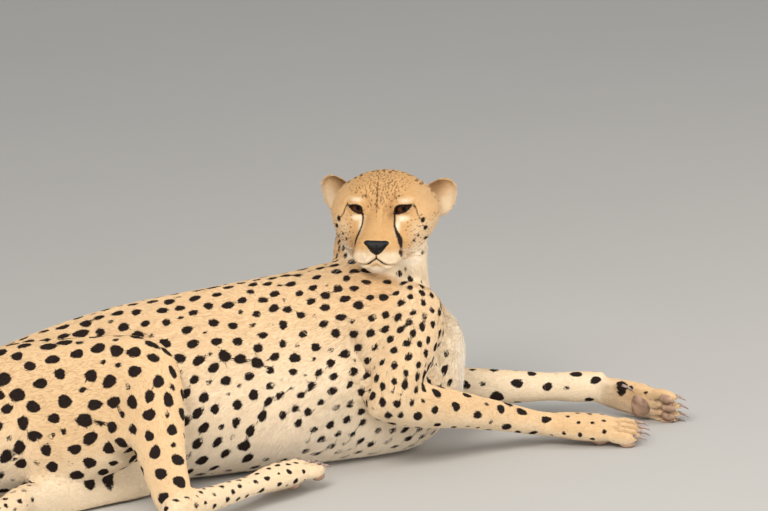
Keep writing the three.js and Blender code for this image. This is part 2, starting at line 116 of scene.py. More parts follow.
def to_line(points, line):
    """How far each point is from a line through some places, and how far along it the nearest place is."""
    line = np.asarray(line, float)
    best = np.full(len(points), 1e9)
    along = np.zeros(len(points))
    walked = 0.0
    for a, b in zip(line[:-1], line[1:]):
        step = b - a
        length = np.linalg.norm(step)
        share = np.clip((points - a) @ step / length**2, 0, 1)
        far = norms(points - a - share[:, None] * step)
        nearer = far < best
        best[nearer] = far[nearer]
        along[nearer] = walked + share[nearer] * length
        walked += length
    return best, along / walked


def curve_through(places, shares):
    """Points at the given shares of a smooth curve through places."""
    places = np.asarray(places, float)
    last = len(places) - 1
    ends = 2 * places[[0]] - places[[1]], 2 * places[[-1]] - places[[-2]]
    p = np.vstack([ends[0], places, ends[1]])
    spot = np.clip(shares, 0, 1) * last
    i = np.minimum(spot.astype(int), last - 1)
    w = (spot - i)[:, None]
    before, here, after, beyond = (p[i + k] for k in range(4))
    cubic = (-before + 3 * here - 3 * after + beyond) * w**3
    square = (2 * before - 5 * here + 4 * after - beyond) * w**2
    return 0.5 * (2 * here + (after - before) * w + square + cubic)


# ---- The pose, in millimetres ----
HEAD_HEADING = -114.5
HEAD_ROLL = 1.5
HEAD_AT = np.array([8.0, -3.0, 371.0])
HEAD_FORWARD = aim(HEAD_HEADING)
HEAD_LEFT = aim(HEAD_HEADING + 90, -HEAD_ROLL)
HEAD_AXES = np.stack([HEAD_FORWARD, HEAD_LEFT, np.cross(HEAD_FORWARD, HEAD_LEFT)])
EYE_AT = np.array([-3.0, 34.0, 1.0])
EYE_RADIUS = 17.0

RIGHT_SHOULDER = np.array([38.0, -48.0, 214.0])
RIGHT_ELBOW = reach(RIGHT_SHOULDER, 144, -135, -48)
RIGHT_WRIST = reach(RIGHT_ELBOW, 272, 11.5, -16)
RIGHT_KNUCKLES = reach(RIGHT_WRIST, 102, -23, -5)
LEFT_SHOULDER = np.array([60.0, 95.0, 172.0])
LEFT_ELBOW = reach(LEFT_SHOULDER, 144, 60, -64)
LEFT_WRIST = reach(LEFT_ELBOW, 272, -19, 0)
LEFT_KNUCKLES = reach(LEFT_WRIST, 102, -43, -9)
RIGHT_HIP = np.array([-592.0, -22.0, 148.0])
RIGHT_KNEE = reach(RIGHT_HIP, 240, -27, 14)
RIGHT_HOCK = reach(RIGHT_KNEE, 238, -93, -44)
RIGHT_HIND_KNUCKLES = reach(RIGHT_HOCK, 252, 34.5, -2)
LEFT_HIP = np.array([-580.0, 48.0, 72.0])
LEFT_KNEE = reach(LEFT_HIP, 240, -27, -9)
LEFT_HOCK = reach(LEFT_KNEE, 238, -158, 0)
LEFT_HIND_KNUCKLES = reach(LEFT_HOCK, 252, -135, -2)

TAIL = [
    (-700, -22, 112),
    (-760, -24, 88),
    (-820, -22, 46),
    (-900, -8, 26),
    (-1000, 26, 25),
    (-1090, 92, 25),
    (-1150, 186, 25),
    (-1176, 290, 25),
    (-1172, 352, 25),
]
TRUNK = [(131, 2, 148), (-20, 8, 148), (-258, 12, 136), (-480, -4, 119), (-742, -20, 98)]

# The bone of each node of flesh, from where its coat starts to where it flows to.
BONES = {
    "neck": [(36, 72, 340), (17, 42, 258), (14, 8, 175)],
    "chest": TRUNK,
    "belly": TRUNK,
    "hindquarters": TRUNK,
    "tail_base": TAIL,
    "tail_middle": TAIL,
    "tail_tip": TAIL,
    "upper_arm_right": [RIGHT_SHOULDER, RIGHT_ELBOW],
    "forearm_right": [RIGHT_ELBOW, RIGHT_WRIST],
    "forepaw_right": [RIGHT_WRIST, RIGHT_KNUCKLES],
    "upper_arm_left": [LEFT_SHOULDER, LEFT_ELBOW],
    "forearm_left": [LEFT_ELBOW, LEFT_WRIST],
    "forepaw_left": [LEFT_WRIST, LEFT_KNUCKLES],
    "thigh_right": [RIGHT_HIP, RIGHT_KNEE],
    "shin_right": [RIGHT_KNEE, RIGHT_HOCK],
    "hindpaw_right": [RIGHT_HOCK, RIGHT_HIND_KNUCKLES],
    "thigh_left": [LEFT_HIP, LEFT_KNEE],
    "shin_left": [LEFT_KNEE, LEFT_HOCK],
    "hindpaw_left": [LEFT_HOCK, LEFT_HIND_KNUCKLES],
    "head": [(62, 0, -40), (-122, 0, 0)],
    "ear_right": [(-70, -56, -18), (-78, -102, 32)],
    "ear_left": [(-70, 56, -18), (-78, 102, 32)],
}
FLESH = list(BONES)
TRUNK_PARTS = ("chest", "belly", "hindquarters")


def eye_box_middle():
    low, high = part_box("eye_left")
    return np.array((low + high) / 2) / MM


# From the pose's frame to the model's, found from where the left eye is.
SHIFT = eye_box_middle() - (EYE_AT @ HEAD_AXES + HEAD_AT)


def to_head(points):
    return (points - HEAD_AT) @ HEAD_AXES.T


def from_head(points):
    return np.asarray(points, float) @ HEAD_AXES + HEAD_AT


def to_model(points):
    return (np.asarray(points, float) + SHIFT) * MM


def from_model(points):
    return np.asarray(points, float) / MM - SHIFT


# ---- Settings ----
def colour_setting(name, text, value):
    return FloatVectorProperty(name=name, description=text, subtype="COLOR", default=value, min=0, max=1)


def length_setting(name, text, value, least, most):
    return FloatProperty(
        name=name, description=text, default=value, min=least, max=most, precision=4, unit="LENGTH"
    )


def count_setting(name, text, value, least, most):
    return IntProperty(name=name, description=text, default=value, min=least, max=most)


def power_setting(name, text, value):
    return FloatProperty(name=name, description=text, default=value, min=0, max=5000, unit="POWER")


class SkinSettings(bpy.types.PropertyGroup):
    grain: length_setting("Grain", "Edge of the cells that the skin is made from", 0.0021, 0.0015, 0.006)
    triangles: count_setting("Triangles", "Most triangles of the finished skin", 186000, 20000, 199000)
    flesh_relax: count_setting("Relaxing", "How many times the skin over the body is relaxed", 34, 0, 100)
    body_coat_depth: length_setting(
        "Coat depth", "How far the skin lies below the tips of the coat on the body", 0.003, 0, 0.01
    )


class MarkingSettings(bpy.types.PropertyGroup):
    gold: colour_setting("Gold", "Colour of the coat on the face and nape", (0.58, 0.345, 0.148))
    tan: colour_setting("Tan", "Colour of the coat on the back and legs", (0.69, 0.485, 0.275))
    cream: colour_setting("Cream", "Colour of the coat on the flanks", (0.77, 0.625, 0.44))
    white: colour_setting("White", "Colour of the coat on the belly, chest and chin", (0.84, 0.75, 0.63))
    black: colour_setting("Black", "Colour of the spots and the lines on the face", (0.017, 0.0095, 0.007))
    brown: colour_setting("Brown", "Colour of the small faint spots", (0.2, 0.085, 0.03))


class CoatSettings(bpy.types.PropertyGroup):
    tufts: count_setting("Tufts", "Most tufts that each piece of the coat has", 47000, 1000, 49000)
    length: length_setting("Length", "Length of the tufts on the back", 0.0068, 0.002, 0.05)
    width: length_setting("Width", "Width of the tufts on the back at their roots", 0.0012, 0.0003, 0.006)


class FaceSettings(bpy.types.PropertyGroup):
    iris: colour_setting("Iris", "Colour of the iris", (0.085, 0.03, 0.011))
    nose: colour_setting("Nose", "Colour of the nose leather", (0.006, 0.0054, 0.006))
    pad: colour_setting("Pads", "Colour of the pads under the paws", (0.36, 0.225, 0.15))
    claw: colour_setting("Claws", "Colour of the claws near their tips", (0.44, 0.31, 0.26))


class StageSettings(bpy.types.PropertyGroup):
    floor: colour_setting("Floor", "Colour of the floor", (0.47, 0.45, 0.42))
    sky: FloatProperty(
        name="Sky", description="Strength of the light from all round", default=0.54, min=0, max=5
    )
    window: power_setting("Window", "Power of the large soft light", 146.0)
    fill: power_setting("Fill", "Power of the second soft light, ahead of the chest", 80.0)
    front: power_setting("Front", "Power of the low soft light beside the camera", 74.0)


# ---- Meshes and arrays ----
def mesh_arrays(mesh):
    """The vertices in millimetres in the pose's frame, and the triangles."""
    mesh.calc_loop_triangles()
    count = len(mesh.vertices)
    vertices = np.empty(count * 3)
    mesh.vertices.foreach_get("co", vertices)
    triangles = np.empty(len(mesh.loop_triangles) * 3, np.int32)
    mesh.loop_triangles.foreach_get("vertices", triangles)
    return from_model(vertices.reshape(-1, 3)), triangles.reshape(-1, 3)


def mesh_edges(mesh):
    edges = np.empty(len(mesh.edges) * 2, np.int32)
    mesh.edges.foreach_get("vertices", edges)
    return edges.reshape(-1, 2)


def set_vertices(mesh, vertices):
    mesh.vertices.foreach_set("co", to_model(vertices).ravel())
    mesh.update()


def vertex_normals(vertices, triangles):
    a, b, c = (vertices[triangles[:, k]] for k in range(3))
    face = np.cross(b - a, c - a)
    total = np.zeros_like(vertices)
    for axis in range(3):
        for k in range(3):
            total[:, axis] += np.bincount(triangles[:, k], face[:, axis], len(vertices))
    return unit(total)


def neighbour_mean(values, edges, times=1, share=1.0):
    """Relaxes values over the mesh: each moves towards the mean of its neighbours' by its share."""
    values = np.array(values, float)
    count = len(values)
    a, b = edges[:, 0], edges[:, 1]
    near = np.maximum(np.bincount(a, minlength=count) + np.bincount(b, minlength=count), 1)
    flat = values.reshape(count, -1)
    share = np.broadcast_to(np.asarray(share, float), (count,))
    for _ in range(times):
        for axis in range(flat.shape[1]):
            column = flat[:, axis]
            total = np.bincount(a, column[b], count) + np.bincount(b, column[a], count)
            flat[:, axis] = column + (total / near - column) * share
    return flat.reshape(values.shape)


def add_attribute(mesh, name, values):
    attribute = mesh.attributes.new(name, "FLOAT", "POINT")
    attribute.data.foreach_set("value", np.asarray(values, np.float32))


def new_object(name, mesh):
    piece = bpy.data.objects.new(name, mesh)
    bpy.context.scene.collection.objects.link(piece)
    return piece


def applied(piece):
    """A mesh with the piece's modifiers applied."""
    graph = bpy.context.evaluated_depsgraph_get()
    return bpy.data.meshes.new_from_object(piece.evaluated_get(graph))


def finish_piece(piece, nodes=()):
    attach(piece, "root")
    if nodes:
        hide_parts(*nodes)
    return piece


def free_to_mesh(name, bm):
    """A mesh made from a bmesh, which is freed."""
    mesh = bpy.data.meshes.new(name)
    bm.to_mesh(mesh)
    bm.free()
    return mesh


def set_down(name, bm, material, nodes=()):
    """A finished piece made from a bmesh."""
    bmesh.ops.recalc_face_normals(bm, faces=bm.faces)
    mesh = free_to_mesh(name, bm)
    mesh.shade_smooth()
    mesh.materials.append(material)
    return finish_piece(new_object(name, mesh), nodes)


def ball_form(around, rows):
    """A ball with a radius of 1, and its vertices as an array."""
    bm = bmesh.new()
    bmesh.ops.create_uvsphere(bm, u_segments=around, v_segments=rows, radius=1)
    return bm, np.array([vertex.co[:] for vertex in bm.verts])


def move_points(bm, points):
    for vertex, place in zip(bm.verts, points):
        vertex.co = place


def add_form(whole, form):
    """Adds one bmesh to another, and frees the one that was added."""
    part = free_to_mesh("part", form)
    whole.from_mesh(part)
    bpy.data.meshes.remove(part)


# ---- The skin's own forms ----
# Each row is a place along the head, its half width as a share of the cheeks', its top and its bottom.
HEAD_WIDTH = 146.0
HEAD_ROWS = [
    (-122, 0.08, 0, -14),
    (-116, 0.38, 16, -34),
    (-102, 0.66, 31, -55),
    (-84, 0.86, 40, -70),
    (-56, 0.98, 46, -80),
    (-28, 1.0, 44, -85),
    (-8, 0.93, 37, -87),
    (6, 0.8, 25, -88),
    (18, 0.66, 9, -88),
    (32, 0.55, -5, -88),
    (46, 0.49, -17, -87),
    (57, 0.41, -25, -80),
    (64, 0.25, -32, -67),
]
HEAD_SQUARE = 2.15

# Swellings on both sides of the head: where, how wide, and how far they push.
HEAD_SWELLS = [
    ((6, 34, 20), 20, (5, 0, 3)),  # brows
    ((16, 34, -2), 17, (-5, 1, 0)),  # eye sockets
    ((0, 62, -16), 26, (4, 5, 0)),  # cheekbones
    ((-44, 68, -44), 30, (0, 5, 0)),  # fluffy cheeks
    ((48, 24, -60), 16, (3, 7, 0)),  # whisker pads
    ((30, 30, -24), 14, (-2, -5, 0)),  # hollows beside the bridge of the nose
    ((40, 34, -86), 14, (0, -9, 6)),  # the jaw draws in beside the chin
]
SINGLE_SWELLS = [
    ((48, 0, -86), 15, (4, 0, 0)),  # chin
    ((-55, 78, -16), 27, (0, 5, 0)),  # left temple
]
# How wide the back of the head is at each height, as a share of its rows' width.
HEAD_SPANS = [
    (-90, 0.94),
    (-58, 0.93),
    (-42, 0.94),
    (-27, 1.0),
    (-12, 1.06),
    (10, 1.085),
    (28, 1.05),
    (44, 1.0),
]


def swell(points, spot, radius, push):
    share = hill(norms(points - np.array(spot)), radius)
    return points + share[:, None] * np.array(push, float)


HEAD_RINGS = 90


def head_form():
    """The head's form: a fine ball whose rows become rings along the head."""
    bm, ball = ball_form(120, HEAD_RINGS)
    polar = np.arccos(np.clip(ball[:, 2], -1, 1)) / math.pi
    angle = np.arctan2(ball[:, 1], ball[:, 0])
    rows = curve_through(HEAD_ROWS, np.clip((polar * HEAD_RINGS - 1) / (HEAD_RINGS - 2), 0, 1))
    length, share, top, bottom = rows.T
    power = 2 / HEAD_SQUARE
    side, rise = np.cos(angle), np.sin(angle)
    side = np.sign(side) * np.abs(side) ** power
    rise = np.sign(rise) * np.abs(rise) ** power
    inside = (polar > 1e-4) & (polar < 1 - 1e-4)
    half = (top - bottom) / 2 * inside
    points = np.stack(
        [length, side * share * HEAD_WIDTH / 2 * inside, (top + bottom) / 2 + rise * half], 1
    )
    for spot, radius, push in HEAD_SWELLS:
        points = swell(points, spot, radius, push)
        mirrored = (spot[0], -spot[1], spot[2])
        points = swell(points, mirrored, radius, (push[0], -push[1], push[2]))
    for single in SINGLE_SWELLS:
        points = swell(points, *single)
    heights, spans = np.transpose(HEAD_SPANS)
    wider = np.interp(points[:, 2], heights, spans) - 1
    points[:, 1] *= 1 + wider * (1 - ease(-36, 8, points[:, 0]))
    move_points(bm, to_model(from_head(points)))
    bmesh.ops.recalc_face_normals(bm, faces=bm.faces)
    return bm


EAR_WIDTH = 54.0
EAR_HEIGHT = 68.0
EAR_DEPTH = 15.0
EAR_WALL = 5.0


def ear_frame(side):
    """Out of the cup, across it and along it to the tip, as rows, with the root."""
    tip = unit([-0.12, 0.68 * side, 0.73])
    across = unit(np.cross(tip, [0.93, 0.34 * side, 0]))
    root = np.array([-70.0, 57.5 * side + 1.5, -18.0 - 1.5 * (side > 0)])
    return np.stack([np.cross(across, tip), across, tip]), root


def ear_form(side):
    """One ear: a ball whose front half is folded in to make the cup."""
    bm, ball = ball_form(56, 40)
    out, across, along = ball.T
    taper = 1 - 0.1 * along
    back = EAR_DEPTH
    half = (EAR_WIDTH + 1.5 * (side > 0)) / 2
    outer = np.stack([back * out, across * taper * half, along * EAR_HEIGHT / 2], 1)
    rim = np.sqrt(across**2 + along**2)
    fold = ease(0.0, 0.45, out)
    inner_back = -back * np.sqrt(np.clip(1 - (rim * 0.97) ** 2, 0, 1)) + EAR_WALL
    outer[:, 0] = np.where(out > 0, outer[:, 0] * (1 - fold) + inner_back * fold, outer[:, 0])
    outer[:, 2] += EAR_HEIGHT * 0.42
    axes, root = ear_frame(side)
    move_points(bm, to_model(from_head(outer @ axes + root)))
    bmesh.ops.recalc_face_normals(bm, faces=bm.faces)
    return bm


def merged_copy(node):
    """A copy of a node of the frame whose loose triangles are merged."""
    bm = bmesh.new()
    bm.from_mesh(NODES[node].data)
    bmesh.ops.remove_doubles(bm, verts=bm.verts, dist=1e-6)
    return bm


# Flesh that fills the hollows where two lengths of the body meet: the middle and the half sizes of each.
FILLERS = [
    ((-447, -163, 120), (20, 34, 32)),  # behind the near shin
    (from_head((-16, 38, -90)), (29, 29, 38)),  # under the left of the jaw
    (from_head((-18, -38, -86)), (26, 26, 32)),  # under the right of the jaw
    (from_head((-54, -1, -76)), (64, 64, 38)),  # the neck below the ears
]


def filler_form(middle, radii):
    bm, ball = ball_form(32, 24)
    move_points(bm, to_model(ball * radii + middle))
    return bm


def body_source():
    """All the flesh in one mesh, with the head and ears in their own finer forms."""
    whole = bmesh.new()
    sources = [merged_copy(n) for n in FLESH if n != "head" and not n.startswith("ear")]
    sources += [head_form(), ear_form(-1), ear_form(1)]
    sources += [filler_form(middle, radii) for middle, radii in FILLERS]
    for source in sources:
        add_form(whole, source)
    return free_to_mesh("skin_source", whole)


def largest_shell(mesh):
    """Deletes all but the largest connected shell."""
    edges = mesh_edges(mesh)
    label = np.arange(len(mesh.vertices))
    while True:
        low = np.minimum(label[edges[:, 0]], label[edges[:, 1]])
        new = label.copy()
        np.minimum.at(new, edges[:, 0], low)
        np.minimum.at(new, edges[:, 1], low)
        new = new[new]
        if (new == label).all():
            break
        label = new
    names, counts = np.unique(label, return_counts=True)
    if len(names) == 1:
        return
    keep = names[counts.argmax()]
    bm = bmesh.new()
    bm.from_mesh(mesh)
    bm.verts.ensure_lookup_table()
    loose = [bm.verts[i] for i in np.flatnonzero(label != keep)]
    bmesh.ops.delete(bm, geom=loose, context="VERTS")
    bm.to_mesh(mesh)
    bm.free()


FACE_REACH = 104.0
FACE_MIDDLE = np.array([-20.0, 0.0, -18.0])
PAWS = [RIGHT_KNUCKLES, LEFT_KNUCKLES, RIGHT_HIND_KNUCKLES, LEFT_HIND_KNUCKLES]
WRISTS = [RIGHT_WRIST, LEFT_WRIST, RIGHT_HOCK, LEFT_HOCK]


def fine_share(points):
    """1 where the surface has small forms, such as on the head and toes, and 0 on the body."""
    head = to_head(points) - FACE_MIDDLE
    share = 1 - ease(FACE_REACH, FACE_REACH + 34, norms(head))
    share *= 1 - 0.9 * (1 - ease(-72, -48, head[:, 2])) * (1 - ease(24, 54, head[:, 0]))
    share *= 1 - 0.9 * (1 - ease(-60, -30, head[:, 2])) * (1 - ease(-60, -30, head[:, 0]))
    for knuckles in PAWS:
        near = 1 - ease(48, 96, norms(points - knuckles))
        share = np.maximum(share, near)
    return share


def limb_share(points):
    """1 near the thin ends of the legs and along the tail."""
    share = np.zeros(len(points))
    for wrist in WRISTS:
        share = np.maximum(share, 1 - ease(60, 150, norms(points - wrist)))
    tail, _ = to_line(points, TAIL[1:])
    return np.maximum(share, 1 - ease(30, 60, tail))


# ---- The paws' own frames: ahead along the foot, left across it, and up out of its back ----
TOE = 55.0
OUTER_TOE = 0.9
TOE_PITCH = 15.0
LANES = (-1.5, -0.5, 0.5, 1.5)
FEET = {
    "fore_right": (RIGHT_WRIST, RIGHT_KNUCKLES, (0, -0.25, 1), 1),
    "fore_left": (LEFT_WRIST, LEFT_KNUCKLES, (0.5, 0.8, 0.35), -1),
    "hind_right": (RIGHT_HOCK, RIGHT_HIND_KNUCKLES, (0, 0, 1), 0),
    "hind_left": (LEFT_HOCK, LEFT_HIND_KNUCKLES, (0, 0, 1), 0),
}


def foot_axes(start, knuckles, up):
    forward = unit(knuckles - start)
    left = unit(np.cross(up, forward))
    return np.stack([forward, left, np.cross(forward, left)])


def paw_places(points):
    """The points in each paw's own frame, one paw after another."""
    for start, knuckles, up, _ in FEET.values():
        yield (points - knuckles) @ foot_axes(start, knuckles, up).T


def toe_length(lane):
    return TOE * (1.0 if abs(lane) < 1 else OUTER_TOE)


# The bare pads under each paw: the middle and the half sizes of each, in the paw's own frame.
PADS = [(np.array([toe_length(lane) * 0.6, lane * TOE_PITCH, -10.6]), (12.0, 7.0, 6.0)) for lane in LANES]
PADS.append((np.array([-11.0, 0, -14.4]), (15.5, 19.5, 8.8)))


# ---- Muscles, folds and creases of the body: where, how wide, and how far they push ----
BODY_SWELLS = [
    ((-100, -95, 135), 38, (0, -7, 0)),  # flank behind the near elbow
    ((-405, -165, 175), 42, (-4, -5, 2)),  # calf into thigh
]

# Creases: the places they run through, how wide and how deep they are.
BODY_CREASES = [
    ([(-72, -78, 215), (-66, -83, 195), (-60, -90, 175), (-54, -100, 148), (-60, -118, 112)], 7, 8),
    ([(-560, -60, 232), (-500, -40, 236), (-445, -20, 230), (-385, -30, 232), (-345, -70, 205)], 8, 4),
    ([(-345, -70, 205), (-328, -84, 160), (-322, -92, 110)], 6, 4),
    ([(70, -72, 226), (66, -84, 183), (74, -70, 128)], 6, 4),
]


def shape_body(points, normals):
    for spot, radius, push in BODY_SWELLS:
        points = swell(points, spot, radius, push)
    for line, width, depth in BODY_CREASES:
        far, along = to_line(points, line)
        fade = ease(0, 0.15, along) * (1 - ease(0.8, 1, along))
        groove = hill(far, width)
        points = points - normals * (groove * fade * depth)[:, None]
    return points


TOE_GROOVE = 5.0


def part_toes(points, normals):
    """Presses in the grooves between the toes of each paw."""
    for local in paw_places(points):
        near = (np.abs(local[:, 1]) < 34) & (np.abs(local[:, 2]) < 30)
        fade = ease(-4, 16, local[:, 0]) * (1 - ease(58, 66, local[:, 0])) * near
        for lane in (-1, 0, 1):
            far = np.abs(local[:, 1] - lane * TOE_PITCH)
            depth = TOE_GROOVE * hill(far, 2.4) * fade
            points = points - normals * depth[:, None]
    return points


def coat_depth(points, normals, depth):
    """How far the skin lies below the tips of the coat."""
    fine = fine_share(points)
    return depth * (1 - 0.6 * fine)


# ---- The face, in the head's own frame, in millimetres ----
# The outer edge of each eye's black rim as places across and up: from the inner corner along the upper
# lid to the outer corner, and back along the lower lid. The two differ a little, as they do in life.
RIM_RIGHT = (
    [(26, -5.6), (25.4, 0), (26.6, 5.6), (30, 8.9), (36, 10), (43, 9.2), (50, 7)],
    [(50, 7), (45, 2.6), (40, -1.6), (34.5, -4.2), (30, -5.5), (26, -5.6)],
)
RIM_LEFT = (
    [(19.4, -6.8), (19.8, 0), (21.4, 5.6), (25.4, 9.3), (31, 10.9), (38, 11.2), (44, 11), (48.8, 11.2)],
    [(48.8, 11.2), (45.6, 6.2), (42, 2), (37.5, -1), (31, -3.6), (24.8, -5.4), (19.4, -6.8)],
)
RIM_WIDTH = 1.9
LID = 1.7
UNMARKED = 20.0  # a distance that is past every marking
# The line between the lips as places across and up.
LIPS = [(0, -60.5), (5, -63.5), (10, -67.5), (15, -70), (21, -70.8), (28, -70), (35, -67)]
LIPS_BACK = 24.0  # how far forward on the face the lips end
PHILTRUM = [(0, -54), (0, -60)]
NOSE_AT = np.array([59.0, 0.0, -42.0])
NOSE_RADII = np.array([9.5, 19.5, 14.5])
NOSE_TOP = 0.66  # the height of the nose's upper half as a share of its lower half's
NOSE_SQUARE = 4.0


def nose_taper(up):
    """How wide the nose is at each height, as a share of its width at the top."""
    return 1 - 0.62 * np.clip((-37 - up) / 19, 0, 1)


def nose_share(head):
    """How far out places are from the middle of the nose seen from the front, 1 at the leather's edge."""
    side = np.abs(head[:, 1]) / (NOSE_RADII[1] * nose_taper(head[:, 2]))
    up = (head[:, 2] - NOSE_AT[2]) / NOSE_RADII[2]
    above = np.maximum(up / NOSE_TOP, 0)
    square = (side**NOSE_SQUARE + above**NOSE_SQUARE) ** (1 / NOSE_SQUARE)
    return np.where(up > 0, square, np.hypot(side, up))


def rim_outline(upper, lower):
    """The outer edge of an eye's black rim, as a closed row of points."""
    shares = np.linspace(0, 1, 24)
    return np.vstack([curve_through(upper, shares)[:-1], curve_through(lower, shares)[:-1]])


RIMS = {-1: rim_outline(*RIM_RIGHT), 1: rim_outline(*RIM_LEFT)}


def rim_distance(across, up, side):
    """How far places on the face are from the outer edge of an eye's rim, below 0 inside it."""
    places = np.stack([across, up], 1)
    best = np.full(len(places), 1e9)
    inside = np.zeros(len(places), bool)
    outline = RIMS[side]
    for a, b in zip(outline, np.roll(outline, -1, axis=0)):
        step = b - a
        share = np.clip((places - a) @ step / max(step @ step, 1e-9), 0, 1)
        best = np.minimum(best, norms(places - a - share[:, None] * step))
        crosses = (a[1] > up) != (b[1] > up)
        with np.errstate(divide="ignore", invalid="ignore"):
            at = a[0] + (up - a[1]) * (b[0] - a[0]) / (b[1] - a[1])
        inside ^= crosses & (across < at)
    return np.where(inside, -best, best)


def nearest_rim(head):
    """The distance to the rim of the eye on each point's own side of the face."""
    right = rim_distance(-head[:, 1], head[:, 2], -1)
    left = rim_distance(head[:, 1], head[:, 2], 1)
    return np.where(head[:, 1] < 0, right, left)


def lip_distance(head):
    """How far points are from the line between the lips, seen from the front, and how far along it."""
    places = np.stack([np.abs(head[:, 1]), head[:, 2]], 1)
    far, along = to_line(places, LIPS)
    return np.where(head[:, 0] > LIPS_BACK, far, UNMARKED), along


def refine_face(mesh):
    """Halves the skin's edges near the eyes, the nose and the mouth."""
    bm = bmesh.new()
    bm.from_mesh(mesh)
    points, _ = mesh_arrays(mesh)
    head = to_head(points)
    lips, _ = lip_distance(head)
    nose = np.where(head[:, 0] > 40, nose_share(head) / 1.3, 2.0)
    near = (head[:, 0] > -10) & (np.abs(head[:, 1]) < 62) & (np.abs(head[:, 2]) < 95)
    near &= (nearest_rim(head) < 4) | (lips < 6) | (nose < 1)
    edges = [e for e in bm.edges if near[e.verts[0].index] and near[e.verts[1].index]]
    bmesh.ops.subdivide_edges(bm, edges=edges, cuts=1, use_grid_fill=True)
    bm.to_mesh(mesh)
    bm.free()


def shape_eyes(head):
    """Sets the skin round each eye on the lids and folds it in behind the eyeball in the opening."""
    for side in (-1, 1):
        across, up = head[:, 1] * side, head[:, 2]
        edge = rim_distance(across, up, side) + RIM_WIDTH
        front = (head[:, 0] > -16) & (across > 6) & (edge < 28)
        off = (across - EYE_AT[1]) ** 2 + (up - EYE_AT[2]) ** 2
        upper = ease(-1, 6, up - 0.2 * (across - 34))
        lid = EYE_AT[0] + np.sqrt(np.maximum((EYE_RADIUS + LID + 1.1 * upper) ** 2 - off, 20))
        eyeball = EYE_AT[0] + np.sqrt(np.maximum(EYE_RADIUS**2 - off, 1))
        spread = 7.0 + 3.0 * (1 - ease(18, 34, across)) + 3.0 * upper
        hold = hill(np.maximum(edge - 1.5, 0), spread)
        target = head[:, 0] * (1 - hold) + lid * hold
        pocket = ease(0.1, 1.3, -edge)
        target = target * (1 - pocket) + (eyeball - 3.0) * pocket
        head[front, 0] = target[front]
    return head


def shape_mouth(head, normals):
    """Presses in the line between the lips and the groove under the nose, and rounds the lips."""
    far, along = lip_distance(head)
    fade = 1 - ease(0.75, 1.0, along)
    groove = 3.0 * hill(far, 1.5) - 1.1 * hill(far - 4.0, 2.2)
    head = head - normals * (groove * fade)[:, None]
    middle, _ = to_line(head[:, 1:], PHILTRUM)
    front = head[:, 0] > 50
    return head - normals * (1.7 * front * hill(middle, 1.4))[:, None]


def shape_nose_seat(head):
    """Sinks the skin that the nose leather covers."""
    sink = (1 - ease(0.72, 0.95, nose_share(head))) * (head[:, 0] > 40)
    head[:, 0] -= 7.0 * sink
    return head


def shape_face(mesh):
    points, triangles = mesh_arrays(mesh)
    head = to_head(points)
    face = (head[:, 0] > -20) & (norms(head) < 120)
    normals = vertex_normals(points, triangles) @ HEAD_AXES.T
    head[face] = shape_mouth(head[face], normals[face])
    head[face] = shape_eyes(head[face])
    head[face] = shape_nose_seat(head[face])
    set_vertices(mesh, from_head(head))


ROUGHNESS = 0.55


def lighten(piece, most):
    """Takes triangles out of the body until there are few enough.

    The skin is roughened while they are taken out, so that they go evenly from flat and round places,
    and is set back on its smooth form after.
    """
    points, triangles = mesh_arrays(piece.data)
    smooth = BVHTree.FromPolygons(points.tolist(), triangles.tolist())
    coarse = 1 - np.clip(fine_share(points) * 1.6, 0, 1)
    rng = np.random.default_rng(SEED)
    push = rng.normal(size=len(points)) * ROUGHNESS * coarse
    set_vertices(piece.data, points + vertex_normals(points, triangles) * push[:, None])
    group = piece.vertex_groups.new(name="coarse")
    for step in range(1, 11):
        chosen = np.flatnonzero(np.round(coarse * 10) == step)
        group.add(chosen.tolist(), step / 10, "REPLACE")
    lighter = piece.modifiers.new("lighten", "DECIMATE")
    lighter.ratio = most / len(triangles)
    lighter.use_collapse_triangulate = True
    lighter.vertex_group = group.name
    mesh = applied(piece)
    piece.modifiers.remove(lighter)
    rough, _ = mesh_arrays(mesh)
    set_vertices(mesh, np.array([smooth.find_nearest(place)[0][:] for place in rough.tolist()]))
    return mesh


# ---- What the coat is like over the surface ----
class Surface:
    """The finished skin as arrays, with what the coat needs to know at each vertex."""

    def __init__(self, mesh):
        self.points, self.triangles = mesh_arrays(mesh)
        self.edges = mesh_edges(mesh)
        self.normals = vertex_normals(self.points, self.triangles)
        self.under = 1 - ease(-0.6, 0.25, self.normals[:, 2])  # 1 below and 0 above
        self.part = nearest_part(self.points)
        self.lie = lie_of_coat(self)
        self.traits = coat_traits(self)


def nearest_part(points):
    """The number of the node of flesh that each point is nearest to."""
    corners, faces, owner = [], [], []
    start = 0
    for number, name in enumerate(FLESH):
        places, triangles = mesh_arrays(NODES[name].data)
        corners.append(places)
        faces.append(triangles + start)
        owner += [number] * len(triangles)
        start += len(places)
    tree = BVHTree.FromPolygons(np.vstack(corners).tolist(), np.vstack(faces).tolist())
    return np.array([owner[tree.find_nearest(p)[2]] for p in points.tolist()])


def is_part(part, *starts):
    wanted = [i for i, name in enumerate(FLESH) if name.startswith(starts)]
    return np.isin(part, wanted)


